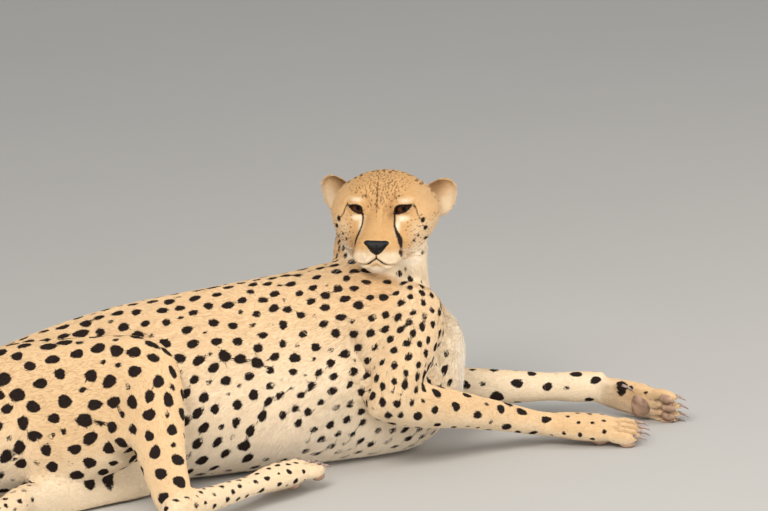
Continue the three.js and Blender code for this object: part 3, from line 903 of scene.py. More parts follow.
def lie_of_coat(surface):
    """The way that the coat lies: back from the nose, along the body, and down the legs."""
    points, part = surface.points, surface.part
    lie = np.zeros_like(points)
    for number, name in enumerate(FLESH):
        here = part == number
        if name == "head":
            head = to_head(points[here])
            lie[here] = unit(head - np.array([78.0, 0.0, -36.0])) @ HEAD_AXES
            continue
        line = np.asarray(BONES[name], float)
        if name.startswith("ear"):
            lie[here] = unit(line[-1] - line[0]) @ HEAD_AXES
            continue
        steps = unit(np.diff(line, axis=0))
        mids = (line[:-1] + line[1:]) / 2
        gap = norms(points[here][:, None] - mids[None])
        lie[here] = steps[gap.argmin(1)]
        if name in TRUNK_PARTS:
            side = 1 - np.abs(surface.normals[here][:, 2])
            fall = side * (0.45 + 1.4 * (1 - ease(60, 150, points[here][:, 2])))
            lie[here] -= fall[:, None] * np.array([0.0, 0.0, 1.0])
    lie = neighbour_mean(lie, surface.edges, times=26)
    normals = surface.normals
    lie -= normals * (lie * normals).sum(1, keepdims=True)
    return unit(lie)


BEHIND_ELBOW = RIGHT_ELBOW + np.array([-62.0, 6.0, -48.0])
WITHERS = np.array([14.0, 8.0, 230.0])


class Traits(dict):
    """What the coat is like: the name of each trait with an array of its value at each vertex."""

    def put(self, where, **values):
        for name, value in values.items():
            self[name] = np.where(where, value, self[name])

    def at_least(self, **values):
        for name, value in values.items():
            self[name] = np.maximum(self[name], value)

    def add(self, **values):
        for name, value in values.items():
            self[name] = self[name] + value


def trunk_traits(traits, surface):
    """The flanks turn cream towards the belly, and the belly and breast are white and longer."""
    points, normals, part, under = surface.points, surface.normals, surface.part, surface.under
    trunk = is_part(part, *TRUNK_PARTS)
    side = 1 - ease(-0.05, 0.75, normals[:, 2])
    flank = 0.5 * side + 0.5 * (1 - ease(60, 230, points[:, 2]))
    traits.put(trunk, pale=0.12 + 0.44 * flank + 0.2 * under)
    rump = 1 - ease(-640, -430, points[:, 0])
    traits.put(trunk, pale=traits["pale"] * (1 - 0.7 * rump * (1 - under)))
    fringe = trunk * under * (1 - ease(45, 170, points[:, 2]))
    traits.add(length=3.5 * fringe)
    breast = is_part(part, "chest") * ease(60, 118, points[:, 0]) * ease(0.1, 0.5, normals[:, 0])
    traits.at_least(pale=breast)
    traits.add(length=4 * breast, lift=4 * breast)
    behind_elbow = hill(norms(points - BEHIND_ELBOW), 60) * trunk
    traits.at_least(pale=0.8 * behind_elbow)
    traits.add(length=2.5 * behind_elbow, lift=2 * behind_elbow)


# How far the coat of each length of the legs has shortened at its start and at its end.
LEG_SHORTENING = [(("forearm",), 0.2, 1.0), (("shin",), 0.2, 1.0), (("upper_arm", "thigh"), 0.0, 0.4)]


def leg_traits(traits, surface):
    """Legs are tan outside and cream inside and below, with a shorter coat towards the paws."""
    points, part, under = surface.points, surface.part, surface.under
    for names, start, end in LEG_SHORTENING:
        here = is_part(part, *names)
        share = np.zeros(len(points))
        for number in np.unique(part[here]):
            chosen = part == number
            _, share[chosen] = to_line(points[chosen], BONES[FLESH[number]])
        down = start + (end - start) * share
        traits.put(here, length=traits["length"] * (1 - 0.5 * down))
        traits.put(here, width=traits["width"] * (1 - 0.3 * down))
        traits.put(here, pale=0.03 + 0.4 * under, gold=0.14)
    traits.put(is_part(part, "upper_arm"), pale=0.15 + 0.3 * under, gold=0.05)
    far_legs = is_part(part, "forearm_left", "upper_arm_left", "thigh_left", "shin_left")
    inside = far_legs * ease(-0.2, 0.5, -surface.normals[:, 1])
    traits.at_least(pale=0.56 * inside)
    traits["gold"] = traits["gold"] * (1 - inside)


def paw_traits(traits, surface):
    """Paws have a short coat, pale inside the far wrist and darker on the palms, with painted shade in the
    grooves between the toes.
    """
    points, part, under = surface.points, surface.part, surface.under
    paw = is_part(part, "forepaw", "hindpaw")
    traits.put(paw, length=3.6, width=0.8, pale=0.05 + 0.3 * under, gold=0.22)
    traits.put(is_part(part, "hindpaw"), pale=0.26 + 0.2 * under, gold=0.05)
    wrist = is_part(part, "forepaw_left") * ease(-0.2, 0.5, -surface.normals[:, 1])
    _, along = to_line(points, BONES["forepaw_left"])
    wrist = wrist * (1 - ease(0.0, 0.9, along))
    traits.at_least(pale=0.54 * wrist)
    traits["gold"] = traits["gold"] * (1 - wrist)
    for place in paw_places(points):
        palm = (1 - ease(-12, -5, place[:, 2])) * (1 - ease(70, 90, norms(place)))
        traits.at_least(shade=0.35 * palm * paw)
        traits.add(length=1.4 * palm * paw)
        across = np.abs(place[:, 1])
        # Painted shade on the coat in the grooves between the toes.
        between = hill(np.abs(across - TOE_PITCH * np.round(across / TOE_PITCH)), 2.2)
        between = between * (across < 24) * ease(2, 14, place[:, 0]) * (1 - ease(60, 70, place[:, 0]))
        traits.at_least(shade=0.6 * between * paw)


def neck_traits(traits, surface):
    """The neck is gold behind, and white with a longer coat in front."""
    neck = is_part(surface.part, "neck")
    throat = ease(-0.1, 0.7, -(surface.normals @ np.array([-0.1, 0.95, 0.3])))
    traits.put(neck, pale=0.45 * throat + 0.05, gold=0.8 * (1 - throat))
    traits.put(neck, length=traits["length"] + 3 * throat, width=0.8 * traits["width"])


def back_traits(traits, surface):
    """The back is a little more gold, and the withers most, with a little painted shade on the withers.
    The fold behind the elbow gets a dark line of painted shade.
    """
    points, part = surface.points, surface.part
    trunk = is_part(part, *TRUNK_PARTS)
    traits.put(trunk, gold=0.08 + 0.16 * (ease(0.3, 0.9, surface.normals[:, 2]) * trunk))
    withers = hill(norms(points - WITHERS), 95) * trunk
    # The withers are gold, with a little painted shade over them.
    traits.at_least(gold=0.95 * withers, shade=0.2 * withers)
    traits["pale"] = traits["pale"] * (1 - 0.9 * withers)
    # Painted shade: a dark line along the fold behind the near elbow.
    fold, _ = to_line(points, BODY_CREASES[0][0])
    traits.at_least(shade=hill(fold, 5.5) * (trunk | is_part(part, "upper_arm")))


def tail_traits(traits, surface):
    """The tail is pale below, with a long white tip."""
    tail = is_part(surface.part, "tail")
    _, down = to_line(surface.points, TAIL)
    traits.put(tail, pale=0.15 + 0.5 * surface.under + 0.6 * ease(0.93, 0.98, down))
    traits.put(tail, length=traits["length"] + 3 + 8 * ease(0.6, 1, down))


def head_traits(traits, surface):
    """The head has the shortest coat, longer on the nape and cheeks and under the jaw."""
    face, head = is_part(surface.part, "head"), to_head(surface.points)
    nape = 1 - ease(-96, -30, head[:, 0])
    jaw = 1 - ease(-84, -56, head[:, 2])
    ruff = ease(44, 62, np.abs(head[:, 1])) * (1 - ease(-40, 0, head[:, 0]))
    crown = ease(22, 44, head[:, 2])
    skull = 3.0 + 3.4 * nape + 3.2 * jaw * ease(0, 60, 60 - head[:, 0]) + 3.4 * ruff + 0.4 * crown
    traits.put(face, length=skull, width=0.6 + 0.35 * nape, lift=13.0 + 2 * crown + 6 * ruff)
    traits.put(face, pale=face_pale(head), gold=1.0 - 0.35 * ease(40, 62, np.abs(head[:, 1])))


def ear_traits(traits, surface):
    """The ears are short and pale, with painted shade deep in their cups."""
    cup, outer, along = ear_place(to_head(surface.points), surface.normals)
    pale = 0.05 + 0.3 * ease(-6, 18, outer) * ease(-0.6, 0.2, cup)
    # Painted shade deep in each cup, towards the head and the base.
    hollow_shade = cup * (1 - ease(-14, 12, outer + 0.35 * (along - 26)))
    ears = is_part(surface.part, "ear")
    traits.put(ears, length=3.3, width=0.5, pale=pale, gold=0.6 - 0.1 * cup, shade=0.8 * hollow_shade)


# In this order, because a later part of the coat changes what an earlier one has set.
TRAIT_STEPS = [
    trunk_traits,
    leg_traits,
    paw_traits,
    neck_traits,
    back_traits,
    tail_traits,
    head_traits,
    ear_traits,
]


def coat_traits(surface):
    """Length, width and lift of the tufts, and how pale, how gold and how shaded the coat is."""
    coat = bpy.context.scene.cheetah_coat
    base = {"pale": 0.0, "gold": 0.12, "shade": 0.0}
    base.update(length=coat.length / MM, width=coat.width / MM, lift=10.0)
    traits = Traits({name: np.full(len(surface.points), value) for name, value in base.items()})
    for step in TRAIT_STEPS:
        step(traits, surface)
    smoothed = {name: neighbour_mean(values, surface.edges, times=10) for name, values in traits.items()}
    smoothed["shade"] = neighbour_mean(traits["shade"], surface.edges, times=2)
    near_face = is_part(surface.part, "head") & (to_head(surface.points)[:, 0] > -60)
    smoothed["pale"][near_face] = traits["pale"][near_face]
    return smoothed


def ear_place(head, normals):
    """On each ear: 1 in the cup and 0 behind it, how far from the ear's middle line, and how far up it."""
    cup, outer, along = np.zeros((3, len(head)))
    for side in (-1, 1):
        axes, root = ear_frame(side)
        here = head[:, 1] * side > 0
        place = (head[here] - root) @ axes.T
        cup[here] = ease(-0.2, 0.35, normals[here] @ (axes[0] @ HEAD_AXES))
        outer[here] = place[:, 1] * side
        along[here] = place[:, 2]
    return cup, outer, along


# Pale places on each side of the face: how pale, across, up, and their half sizes both ways.
PALE_PLACES = [
    (0.55, 33, -10, 10, 4.5),  # under the eye
    (0.45, 27, -17, 4.5, 12),  # beside the tear line
    (0.4, 36, 15.5, 11, 3.5),  # over the eye
    (0.62, 20, -60, 20, 11),  # round the mouth
]


def face_pale(head):
    """How pale the face is: under and over the eyes, round the mouth, and on the chin and jaw."""
    side, up = np.abs(head[:, 1]), head[:, 2]
    places = [much * bump(side - across, up - high, *radii) for much, across, high, *radii in PALE_PLACES]
    pale = np.max(places, axis=0) * ease(-30, 5, head[:, 0])
    chin = 0.7 * (1 - ease(-75, -68, up))
    cheek = ease(34, 54, side) * (0.22 + 0.3 * (1 - ease(-66, -40, up))) * (1 - ease(-24, -4, up))
    return np.clip(np.maximum(np.maximum(pale, chin), cheek), 0, 1)


# ---- Spots ----
class Spots:
    """The coat's spots: where each is, its size along and across the coat, and how dark it is."""

    def __init__(self):
        self.rows = []

    def add(self, centre, normal, lie, along, across, dark):
        self.rows.append((*centre, *normal, *lie, along, across, dark))

    def arrays(self):
        rows = np.array(self.rows)
        return rows[:, :3], rows[:, 3:6], rows[:, 6:9], rows[:, 9], rows[:, 10], rows[:, 11]


# The spots on each part of the body: their radius and the gap between them.
SPOT_SIZES = {
    "belly": (7.9, 22.5),
    "hindquarters": (8.8, 23.5),
    "thigh": (9.8, 24.7),
    "chest": (6.8, 19.6),
    "upper_arm": (6.0, 16.4),
    "forearm_right": (7.6, 24.5),
    "forearm_left": (8.4, 30.0),
    "shin": (9.0, 24.5),
    "neck": (4.6, 12.5),
    "forepaw": (3.4, 17.0),
    "hindpaw": (4.4, 16.0),
}
OTHER_SPOTS = (8.5, 26.0)


def spot_sizes(points, normals, part):
    """The radius and the gap of the spots at each place, larger low on the belly and smaller beneath."""
    radius, gap = (np.full(len(points), value) for value in OTHER_SPOTS)
    for name, (size, apart) in SPOT_SIZES.items():
        here = is_part(part, name)
        radius[here], gap[here] = size, apart
    low = is_part(part, "belly") * (1 - ease(50, 130, points[:, 2]))
    radius *= 1 + 0.16 * low
    gap *= 1 + 0.1 * low
    radius *= 1 - 0.3 * (1 - ease(-0.9, -0.45, normals[:, 2]))
    return radius, gap


def plain_places(points, normals, part):
    """True where the coat has no spots: throat, breast, toes and the inner side of the far hind leg."""
    plain = is_part(part, "head", "ear")
    plain |= is_part(part, "neck") & (normals @ unit([0.75, -0.6, -0.2]) > 0.42)
    plain |= is_part(part, "chest") & (points[:, 0] > 84) & (normals[:, 0] > 0.5)
    plain |= is_part(part, "thigh_left", "shin_left") & (normals[:, 1] < 0.1)
    for place in paw_places(points):
        near = norms(place) < 90
        plain |= near & ((place[:, 0] > -4) | (place[:, 2] < -9))
    return plain


# Each round of spots: how close they are as a share of the gap, their least and greatest size as a
# share of the radius, how many of the free places they take, and how dark the faintest are.
SPOT_ROUNDS = [
    (1.04, 0.86, 1.1, 1.0, 1.0),
    (0.76, 0.42, 0.62, 0.75, 0.9),
    (0.52, 0.14, 0.24, 0.12, 0.2),
]
BODY_ROOTS, SPOT_TRIES, FACE_ROOTS = 90000, 60000, 14000
SPOT_CELL = 32.0  # the edge of the cells that a spot's neighbours are sought in
LONGEST_SPECKED = 7.5  # the longest coat that shows the faint spots
DEWCLAW_MARK = np.array([-44.0, 20.0, -8.0])


def scatter_spots(roots, rng):
    """Spots set apart by their gap over the whole body but the face, with smaller ones in between."""
    spots = Spots()
    order = rng.permutation(len(roots["points"]))[:SPOT_TRIES]
    places = [roots[name][order] for name in ("points", "normals", "part")]
    spotted = ~plain_places(*places)
    order = order[spotted]
    radius, gap = spot_sizes(*(values[spotted] for values in places))
    grid = {}

    def clear(point, apart):
        home = (point // SPOT_CELL).astype(int)
        for step in itertools.product((-1, 0, 1), repeat=3):
            for other, its_gap in grid.get(tuple(home + step), ()):
                if ((point - other) ** 2).sum() < ((apart + its_gap) / 2) ** 2:
                    return False
        return True

    for closeness, least, most, share, faintest in SPOT_ROUNDS:
        for index, size, apart in zip(order, radius, gap * closeness):
            point = roots["points"][index]
            if faintest < 0.5 and roots["length"][index] > LONGEST_SPECKED:
                continue
            apart *= rng.uniform(0.92, 1.06)
            if not clear(point, apart) or rng.random() > share:
                continue
            grid.setdefault(tuple((point // SPOT_CELL).astype(int)), []).append((point, apart))
            size *= rng.uniform(least, most)
            stretch = rng.uniform(1.0, 1.36)
            spots.add(
                point,
                roots["normals"][index],
                unit(roots["lie"][index] + rng.normal(scale=0.2, size=3)),
                size * math.sqrt(stretch),
                size / math.sqrt(stretch),
                rng.uniform(faintest, 1.0) if faintest > 0.5 else rng.uniform(faintest, 0.6),
            )
    # The dark place beside the far forepaw's dewclaw.
    start, knuckles, up, inner = FEET["fore_left"]
    place = (DEWCLAW_MARK * [1, inner, 1]) @ foot_axes(start, knuckles, up) + knuckles
    spots.add(place, unit([0.29, -0.93, 0.24]), unit(knuckles - start), 9.0, 7.0, 1.0)
    return spots


def face_spots(spots, roots, rng):
    """Fine specks over the crown, rows of dots on the cheeks and marks behind the eyes."""
    face = np.flatnonzero(is_part(roots["part"], "head"))
    face = rng.permutation(face)
    head = to_head(roots["points"][face])
    side, up, front = np.abs(head[:, 1]), head[:, 2], head[:, 0]
    taken = np.zeros((0, 3))
    crown = 1.8 * bump(head[:, 1] + 2, up - 34, 17, 19) + 0.25 * bump(head[:, 1] + 2, up - 36, 44, 16)
    crown = crown * ease(-75, -30, front)
    cheek = ease(36, 46, side) * (1 - ease(-16, -4, up)) * ease(-74, -60, up) * ease(-70, -30, front)
    nape = (1 - ease(-80, -30, front)) * ease(-40, 0, up)
    chance = np.maximum(np.maximum(crown, cheek), 0.6 * nape)
    for index, place, keep in zip(face, head, chance):
        if rng.random() > keep or keep < 0.05:
            continue
        on_cheek = abs(place[1]) > 36 and place[2] < -2
        apart = 4.6 if on_cheek else 3.0
        apart += 5.0 * (place[0] < -45)
        if len(taken) and (norms(taken - place) < apart * rng.uniform(0.85, 1.3)).any():
            continue
        taken = np.vstack([taken, place])
        size = rng.uniform(0.6, 1.3) if on_cheek else rng.uniform(0.65, 1.2)
        size += 1.6 * (place[0] < -45)
        spots.add(
            roots["points"][index],
            roots["normals"][index],
            roots["lie"][index],
            size * 1.5,
            size,
            rng.uniform(0.35, 0.8) if on_cheek else rng.uniform(0.5, 0.95),
        )


# Lines on the face as places across and up, and their half widths along them.
TEARS = {
    -1: [(26.3, -4), (25.2, -11), (25.2, -18.5), (27.8, -26), (31.4, -34), (33, -40), (33.4, -46)],
    1: [(20, -5), (20.9, -9.5), (22.3, -17), (26.5, -25), (31.3, -33), (34, -39.5), (35.1, -45.5)],
}
TEAR_WIDTHS = {-1: [1.5, 1.3, 1.2, 1.3, 1.5, 1.5, 0.8], 1: [1.8, 1.5, 1.4, 1.6, 2.2, 2.6, 1.4]}
EYE_TAIL = [(49, 8.5), (52.5, 2.5), (55, -5), (58.5, -11)]
EYE_TAIL_WIDTHS = [1.3, 0.9, 0.9, 0.7]
# Spots on the cheeks: across, up, size and how dark.
CHEEK_MARKS = [
    (62.5, -14, 3.0, 1.0),
    (66, -26, 2.7, 1.0),
    (65, -44, 2.2, 0.95),
    (65, -56, 1.9, 0.9),
    (56, -36, 1.7, 0.85),
    (50, -43, 1.7, 0.85),
    (60, -68, 2.0, 0.85),
]
LIP_PATCH = [(34.5, -50), (36, -57)]
BROW_LINE = [(21.5, 28), (20.5, 18)]
MIDDLE_LINE = [(-7, 42), (-6, 36), (-5, 22), (-4, 2), (-3.5, -6)]


def line_distance(head, line, widths):
    """How far points are from the edge of a line of places across and up, seen from the front."""
    far, along = to_line(head[:, 1:], line)
    return far - np.interp(along, np.linspace(0, 1, len(widths)), widths)


def face_lines(points, normals):
    """How far points are from the face's dark lines, and how dark each place's line is."""
    head = to_head(points)
    far = np.full(len(points), UNMARKED)
    dark = np.ones(len(points))
    front = (head[:, 0] > -34) & (norms(head) < 130)
    h = head[front]
    facing = (normals[front] @ HEAD_AXES.T)[:, 0] > -0.35
    best = np.full(len(h), UNMARKED)
    tone = np.ones(len(h))

    def mark(distance, strength=1.0):
        nearer = (distance < best) & facing
        best[nearer] = distance[nearer]
        tone[nearer] = strength

    mark(np.where(h[:, 0] > -18, nearest_rim(h), UNMARKED))
    for side in (-1, 1):
        place = h * [1, side, 1]
        mark(line_distance(place, TEARS[side], TEAR_WIDTHS[side]))
        mark(line_distance(place, EYE_TAIL, EYE_TAIL_WIDTHS), 0.85)
        mark(line_distance(place, LIP_PATCH, [2.6, 1.6]), 0.8 if side > 0 else 0.3)
        mark(line_distance(place, BROW_LINE, [0.9, 1.0]), 0.45)
        for across, up, size, strength in CHEEK_MARKS:
            mark(np.hypot(place[:, 1] - across, (place[:, 2] - up) / 1.4) - size, strength)
    wave = 0.5 * np.sin(0.9 * h[:, 2])
    mark(line_distance(h, MIDDLE_LINE, [0.2, 1.0, 1.3, 1.0, 0.1]) - wave, 0.6)
    lips, along = lip_distance(h)
    mark(lips - 1.15 * (1 - ease(0.34, 0.54, along)))
    philtrum, _ = to_line(h[:, 1:], PHILTRUM)
    mark(philtrum - 0.9)
    far[front], dark[front] = best, tone
    return far, dark


def near_spots(points, spots):
    """The numbers of the three spots nearest to each point."""
    centres = spots.arrays()[0]
    tree = KDTree(len(centres))
    for i, centre in enumerate(centres.tolist()):
        tree.insert(centre, i)
    tree.balance()
    return np.array([[hit[1] for hit in tree.find_n(p, 3)] for p in points.tolist()])


def spot_distance(points, normals, spots, near):
    """How far points are from the nearest spot's edge, below 0 inside it, and how dark that spot is."""
    centres, facings, lies, along, across, dark = spots.arrays()
    best = np.full(len(points), UNMARKED)
    tone = np.ones(len(points))
    for k in range(3):
        i = near[:, k]
        gap = points - centres[i]
        depth = (gap * facings[i]).sum(1)
        down = (gap * lies[i]).sum(1) / along[i]
        over = (gap * np.cross(facings[i], lies[i])).sum(1) / across[i]
        turn = np.arctan2(over, down)
        phase = centres[i].sum(1)
        edge = 1 + 0.09 * np.sin(2 * turn + phase) + 0.07 * np.sin(3 * turn + 2.3 * phase)
        distance = (np.hypot(down, over) - edge) * np.sqrt(along[i] * across[i])
        same_side = ((normals * facings[i]).sum(1) > 0.1) & (np.abs(depth) < 3 * along[i])
        nearer = same_side & (distance < best)
        best[nearer] = distance[nearer]
        tone[nearer] = dark[i][nearer]
    return best, tone


# The dark rings: how far each is down the tail, and its half width.
TAIL_RINGS = [(735, 13), (800, 15), (866, 16), (930, 17)]
TAIL_LENGTH = 1010.0


def tail_rings(points, part):
    """How far points of the tail are from its dark rings near the tip."""
    _, down = to_line(points, TAIL)
    far = np.full(len(points), UNMARKED)
    for middle, half in TAIL_RINGS:
        far = np.minimum(far, np.abs(down * TAIL_LENGTH - middle) - half)
    return np.where(is_part(part, "tail"), far, UNMARKED)


def ear_backs(points, normals, part):
    """How far points are from the edge of the dark patch on the back of each ear."""
    cup, outer, along = ear_place(to_head(points), normals)
    patch = (np.hypot(outer / 20, (along - 18) / 26) - 1) * 20
    return np.where(is_part(part, "ear") & (cup < 0.4), patch, UNMARKED)


MARK_REACH = 6.0


def markings(points, normals, part, spots, near):
    """The distance to the nearest marking's edge, and how dark that marking is."""
    far, dark = spot_distance(points, normals, spots, near)
    whole = np.ones(len(points))
    others = (face_lines(points, normals), (tail_rings(points, part), whole))
    for other, tone in (*others, (ear_backs(points, normals, part), whole)):
        nearer = other < far
        far = np.where(nearer, other, far)
        dark = np.where(nearer, tone, dark)
    return np.clip(far, -MARK_REACH, MARK_REACH), dark


# ---- Sampling roots on the skin ----
def sample_roots(surface, closeness, count, rng):
    """Roots spread over the skin, closer where closeness is higher."""
    tri = surface.triangles
    a, b, c = (surface.points[tri[:, k]] for k in range(3))
    area = norms(np.cross(b - a, c - a)) / 2
    weight = area * closeness[tri].mean(1)
    weight /= weight.sum()
    pick = np.repeat(np.arange(len(tri)), rng.multinomial(count, weight))
    u, v = rng.random(len(pick)), rng.random(len(pick))
    over = u + v > 1
    u[over], v[over] = 1 - u[over], 1 - v[over]
    shares = np.stack([1 - u - v, u, v], 1)
    corners = tri[pick]

    def at(values):
        if values.ndim == 1:
            return (values[corners] * shares).sum(1)
        return (values[corners] * shares[:, :, None]).sum(1)

    roots = {
        "points": at(surface.points),
        "normals": unit(at(surface.normals)),
        "lie": unit(at(surface.lie)),
        "part": surface.part[corners[:, 0]],
    }
    for name, values in surface.traits.items():
        roots[name] = at(values)
    return roots


def bare_places(roots):
    """True where no tuft grows: on the eyes and lids, the nose leather, the lips and the pads."""
    head = to_head(roots["points"])
    bare = (nearest_rim(head) < 0.2) & (head[:, 0] > -18)
    bare |= (nose_share(head) < 1.04) & (head[:, 0] > 46)
    lips, along = lip_distance(head)
    bare |= lips < 1.3 * (1 - ease(0.34, 0.54, along))
    for place in paw_places(roots["points"]):
        for centre, radii in PADS:
            away = np.hypot(*((place - centre) / radii)[:, :2].T)
            bare |= (away < 1.0) & (place[:, 2] < centre[2] + 3)
    return bare


# ---- Materials ----
class Wiring:
    """A tree of shader nodes, with short ways to add nodes and to join them up."""

    def __init__(self, tree):
        self.nodes, self.links = tree.nodes, tree.links

    def join(self, source, socket):
        """Links a socket to another one, or gives it a value."""
        if isinstance(source, bpy.types.NodeSocket):
            self.links.new(source, socket)
        else:
            socket.default_value = source

    def add(self, kind, inputs, output=0, **choices):
        """Adds a node with its choices and inputs, and gives one of its outputs."""
        node = self.nodes.new("ShaderNode" + kind)
        for name, choice in choices.items():
            setattr(node, name, choice)
        for name, source in inputs.items():
            self.join(source, node.inputs[name])
        return node.outputs[output]

    def place(self):
        return self.add("TexCoord", {}, "Object")

    def attribute(self, name):
        return self.add("Attribute", {}, "Fac", attribute_name=name)

    def noise(self, place, scale, detail=2.0):
        return self.add("TexNoise", {"Vector": place, "Scale": scale, "Detail": detail}, "Fac")

    def grain(self, height, strength, depth):
        return self.add("Bump", {"Height": height, "Strength": strength, "Distance": depth}, "Normal")

    def maths(self, operation, *values):
        return self.add("Math", dict(enumerate(values)), operation=operation)

    def mix(self, share, low, high, blend="MIX"):
        inputs = {"Factor": share, "A": low, "B": high}
        return self.add("Mix", inputs, "Result", data_type="RGBA", blend_type=blend)

    def spread(self, value, low, high, to_low=0.0, to_high=1.0):
        inputs = {"Value": value, "From Min": low, "From Max": high, "To Min": to_low, "To Max": to_high}
        return self.add("MapRange", inputs, "Result", interpolation_type="SMOOTHSTEP")

    def ramp(self, value, stops):
        """A colour for each value, from stops that each have a place and a colour."""
        colour = self.add("ValToRGB", {"Fac": value}, "Color")
        elements = colour.node.color_ramp.elements
        elements.remove(elements[-1])
        elements[0].position = stops[0][0]
        for place, _ in stops[1:]:
            elements.new(place)
        for element, (_, tint) in zip(elements, stops):
            element.color = (*tint, 1)
        return colour


COAT_COLOURS = ("Tan", "Gold", "Cream", "White", "Black", "Brown")
# The attribute that each of these inputs of the coat's colours reads.
COAT_READS = {"Dark": "dark", "Pale": "pale", "Gold share": "gold", "Shade": "shade"}
LEAST_LIGHT, LIGHT_SPAN = 0.88, 0.24
# The darker brown that painted shade mixes the coat towards.
SHADE_TINT = (0.4, 0.3, 0.23, 1)


def coat_group():
    """The coat's colours: tan, gold, cream and white, darkened by painted shade where the Shade input asks
    for it, with the markings over them.
    """
    group = bpy.data.node_groups.new("CoatColours", "ShaderNodeTree")
    face = group.interface
    for name in COAT_COLOURS:
        face.new_socket(name, in_out="INPUT", socket_type="NodeSocketColor")
    for name in ("Distance", *COAT_READS, "Vary", "Blur"):
        face.new_socket(name, in_out="INPUT", socket_type="NodeSocketFloat")
    face.new_socket("Colour", in_out="OUTPUT", socket_type="NodeSocketColor")
    wire = Wiring(group)
    ins = group.nodes.new("NodeGroupInput").outputs
    ground = wire.mix(ins["Gold share"], ins["Tan"], ins["Gold"])
    creamed = wire.mix(wire.spread(ins["Pale"], 0.0, 0.5), ground, ins["Cream"])
    whitened = wire.mix(wire.spread(ins["Pale"], 0.5, 1.0), creamed, ins["White"])
    light = wire.maths("MULTIPLY_ADD", ins["Vary"], LIGHT_SPAN, LEAST_LIGHT)
    grey = wire.add("CombineColor", dict.fromkeys(("Red", "Green", "Blue"), light))
    varied = wire.mix(1.0, whitened, grey, "MULTIPLY")
    # Painted shade: where Shade is high, the coat is darkened towards SHADE_TINT.
    varied = wire.mix(ins["Shade"], varied, wire.mix(1.0, varied, SHADE_TINT, "MULTIPLY"))
    mark = wire.mix(wire.spread(ins["Dark"], 0.45, 0.95), ins["Brown"], ins["Black"])
    blur = wire.maths("MULTIPLY", ins["Blur"], -1.0)
    inside = wire.maths("SUBTRACT", ins["Distance"], ins["Blur"])
    edge = wire.maths("DIVIDE", inside, wire.maths("SUBTRACT", blur, ins["Blur"]))
    clear = wire.add("Clamp", {"Value": edge})
    strength = wire.maths("MULTIPLY", clear, wire.spread(ins["Dark"], 0.0, 0.7, 0.25, 1.0))
    leave = group.nodes.new("NodeGroupOutput")
    wire.join(wire.mix(strength, varied, mark), leave.inputs["Colour"])
    return group


def new_material(name, rough, specular):
    material = bpy.data.materials.new(name)
    material.use_nodes = True
    shader = material.node_tree.nodes["Principled BSDF"]
    shader.inputs["Roughness"].default_value = rough
    shader.inputs["Specular IOR Level"].default_value = specular
    return material, Wiring(material.node_tree), shader


def coat_material(name, group, on_skin):
    """The finish of the skin or of the tufts: the same colours, with a fine grain of hairs on the skin."""
    material, wire, shader = new_material(name, rough=0.86, specular=0.16)
    marks = bpy.context.scene.cheetah_markings
    inputs = {title: (*getattr(marks, title.lower()), 1) for title in COAT_COLOURS}
    for title, attribute in COAT_READS.items():
        inputs[title] = wire.attribute(attribute)
    distance = wire.attribute("distance")
    if on_skin:
        place = wire.place()
        ragged = wire.noise(place, scale=420, detail=3)
        shaken = wire.maths("MULTIPLY_ADD", ragged, 2.4, -1.2)
        inputs.update({"Distance": wire.maths("ADD", distance, shaken), "Vary": ragged, "Blur": 0.7})
        hairs = wire.noise(place, scale=900, detail=4)
        wire.join(wire.grain(hairs, strength=0.55, depth=0.0008), shader.inputs["Normal"])
    else:
        inputs.update({"Distance": distance, "Vary": wire.attribute("vary"), "Blur": 0.5})
    wire.join(wire.add("Group", inputs, "Colour", node_tree=group), shader.inputs["Base Color"])
    return material


def times(colour, share):
    return tuple(channel * share for channel in colour)


def mottled_material(name, rough, specular, stops, scale, detail=2.0):
    """A finish whose colour wanders over the surface between stops."""
    material, wire, shader = new_material(name, rough, specular)
    wire.join(wire.ramp(wire.noise(wire.place(), scale, detail), stops), shader.inputs["Base Color"])
    return material


def leather_material(name, colour, rough, scale, depth):
    """Skin without hair: a fine pebbled grain, worn a little paler in patches."""
    material, wire, shader = new_material(name, rough, specular=0.28)
    place = wire.place()
    stops = [(0.3, times(colour, 0.55)), (0.75, times(colour, 1.5))]
    patches = wire.noise(place, scale * 0.12, detail=4)
    wire.join(wire.ramp(patches, stops), shader.inputs["Base Color"])
    pebbles = wire.add("TexVoronoi", {"Vector": place, "Scale": scale}, "Distance")
    wire.join(wire.grain(pebbles, strength=0.6, depth=depth), shader.inputs["Normal"])
    return material


def eye_material():
    """A black pupil, an amber-brown iris with fine rays and a black rim, by the angle from the axis, with
    a painted shadow of the upper lid over the top of the eye.
    """
    material, wire, shader = new_material("eye_glaze", rough=0.1, specular=0.06)
    iris = tuple(bpy.context.scene.cheetah_face.iris)
    pupil, deep = (0.002, 0.002, 0.002), times(iris, 0.35)
    stops = [(0.0, pupil), (0.1, pupil), (0.14, deep), (0.26, iris), (0.42, deep)]
    stops += [(0.48, (0.01, 0.006, 0.004)), (0.8, (0.012, 0.008, 0.006))]
    colour = wire.ramp(wire.attribute("off_axis"), stops)
    rays = wire.noise(wire.place(), scale=700, detail=3)
    shade = wire.add("MapRange", {"Value": rays, "To Min": 0.55, "To Max": 1.5}, "Result")
    # The iris rays, times a painted shadow of the upper lid that darkens the top of the eye.
    rays_and_lid_shadow = wire.maths("MULTIPLY", shade, wire.attribute("lid_light"))
    mixed = wire.add("VectorMath", {0: colour, "Scale": rays_and_lid_shadow}, "Vector", operation="SCALE")
    wire.join(mixed, shader.inputs["Base Color"])
    return material


SHARED = {}
LOWEST_SKIN = 0.6


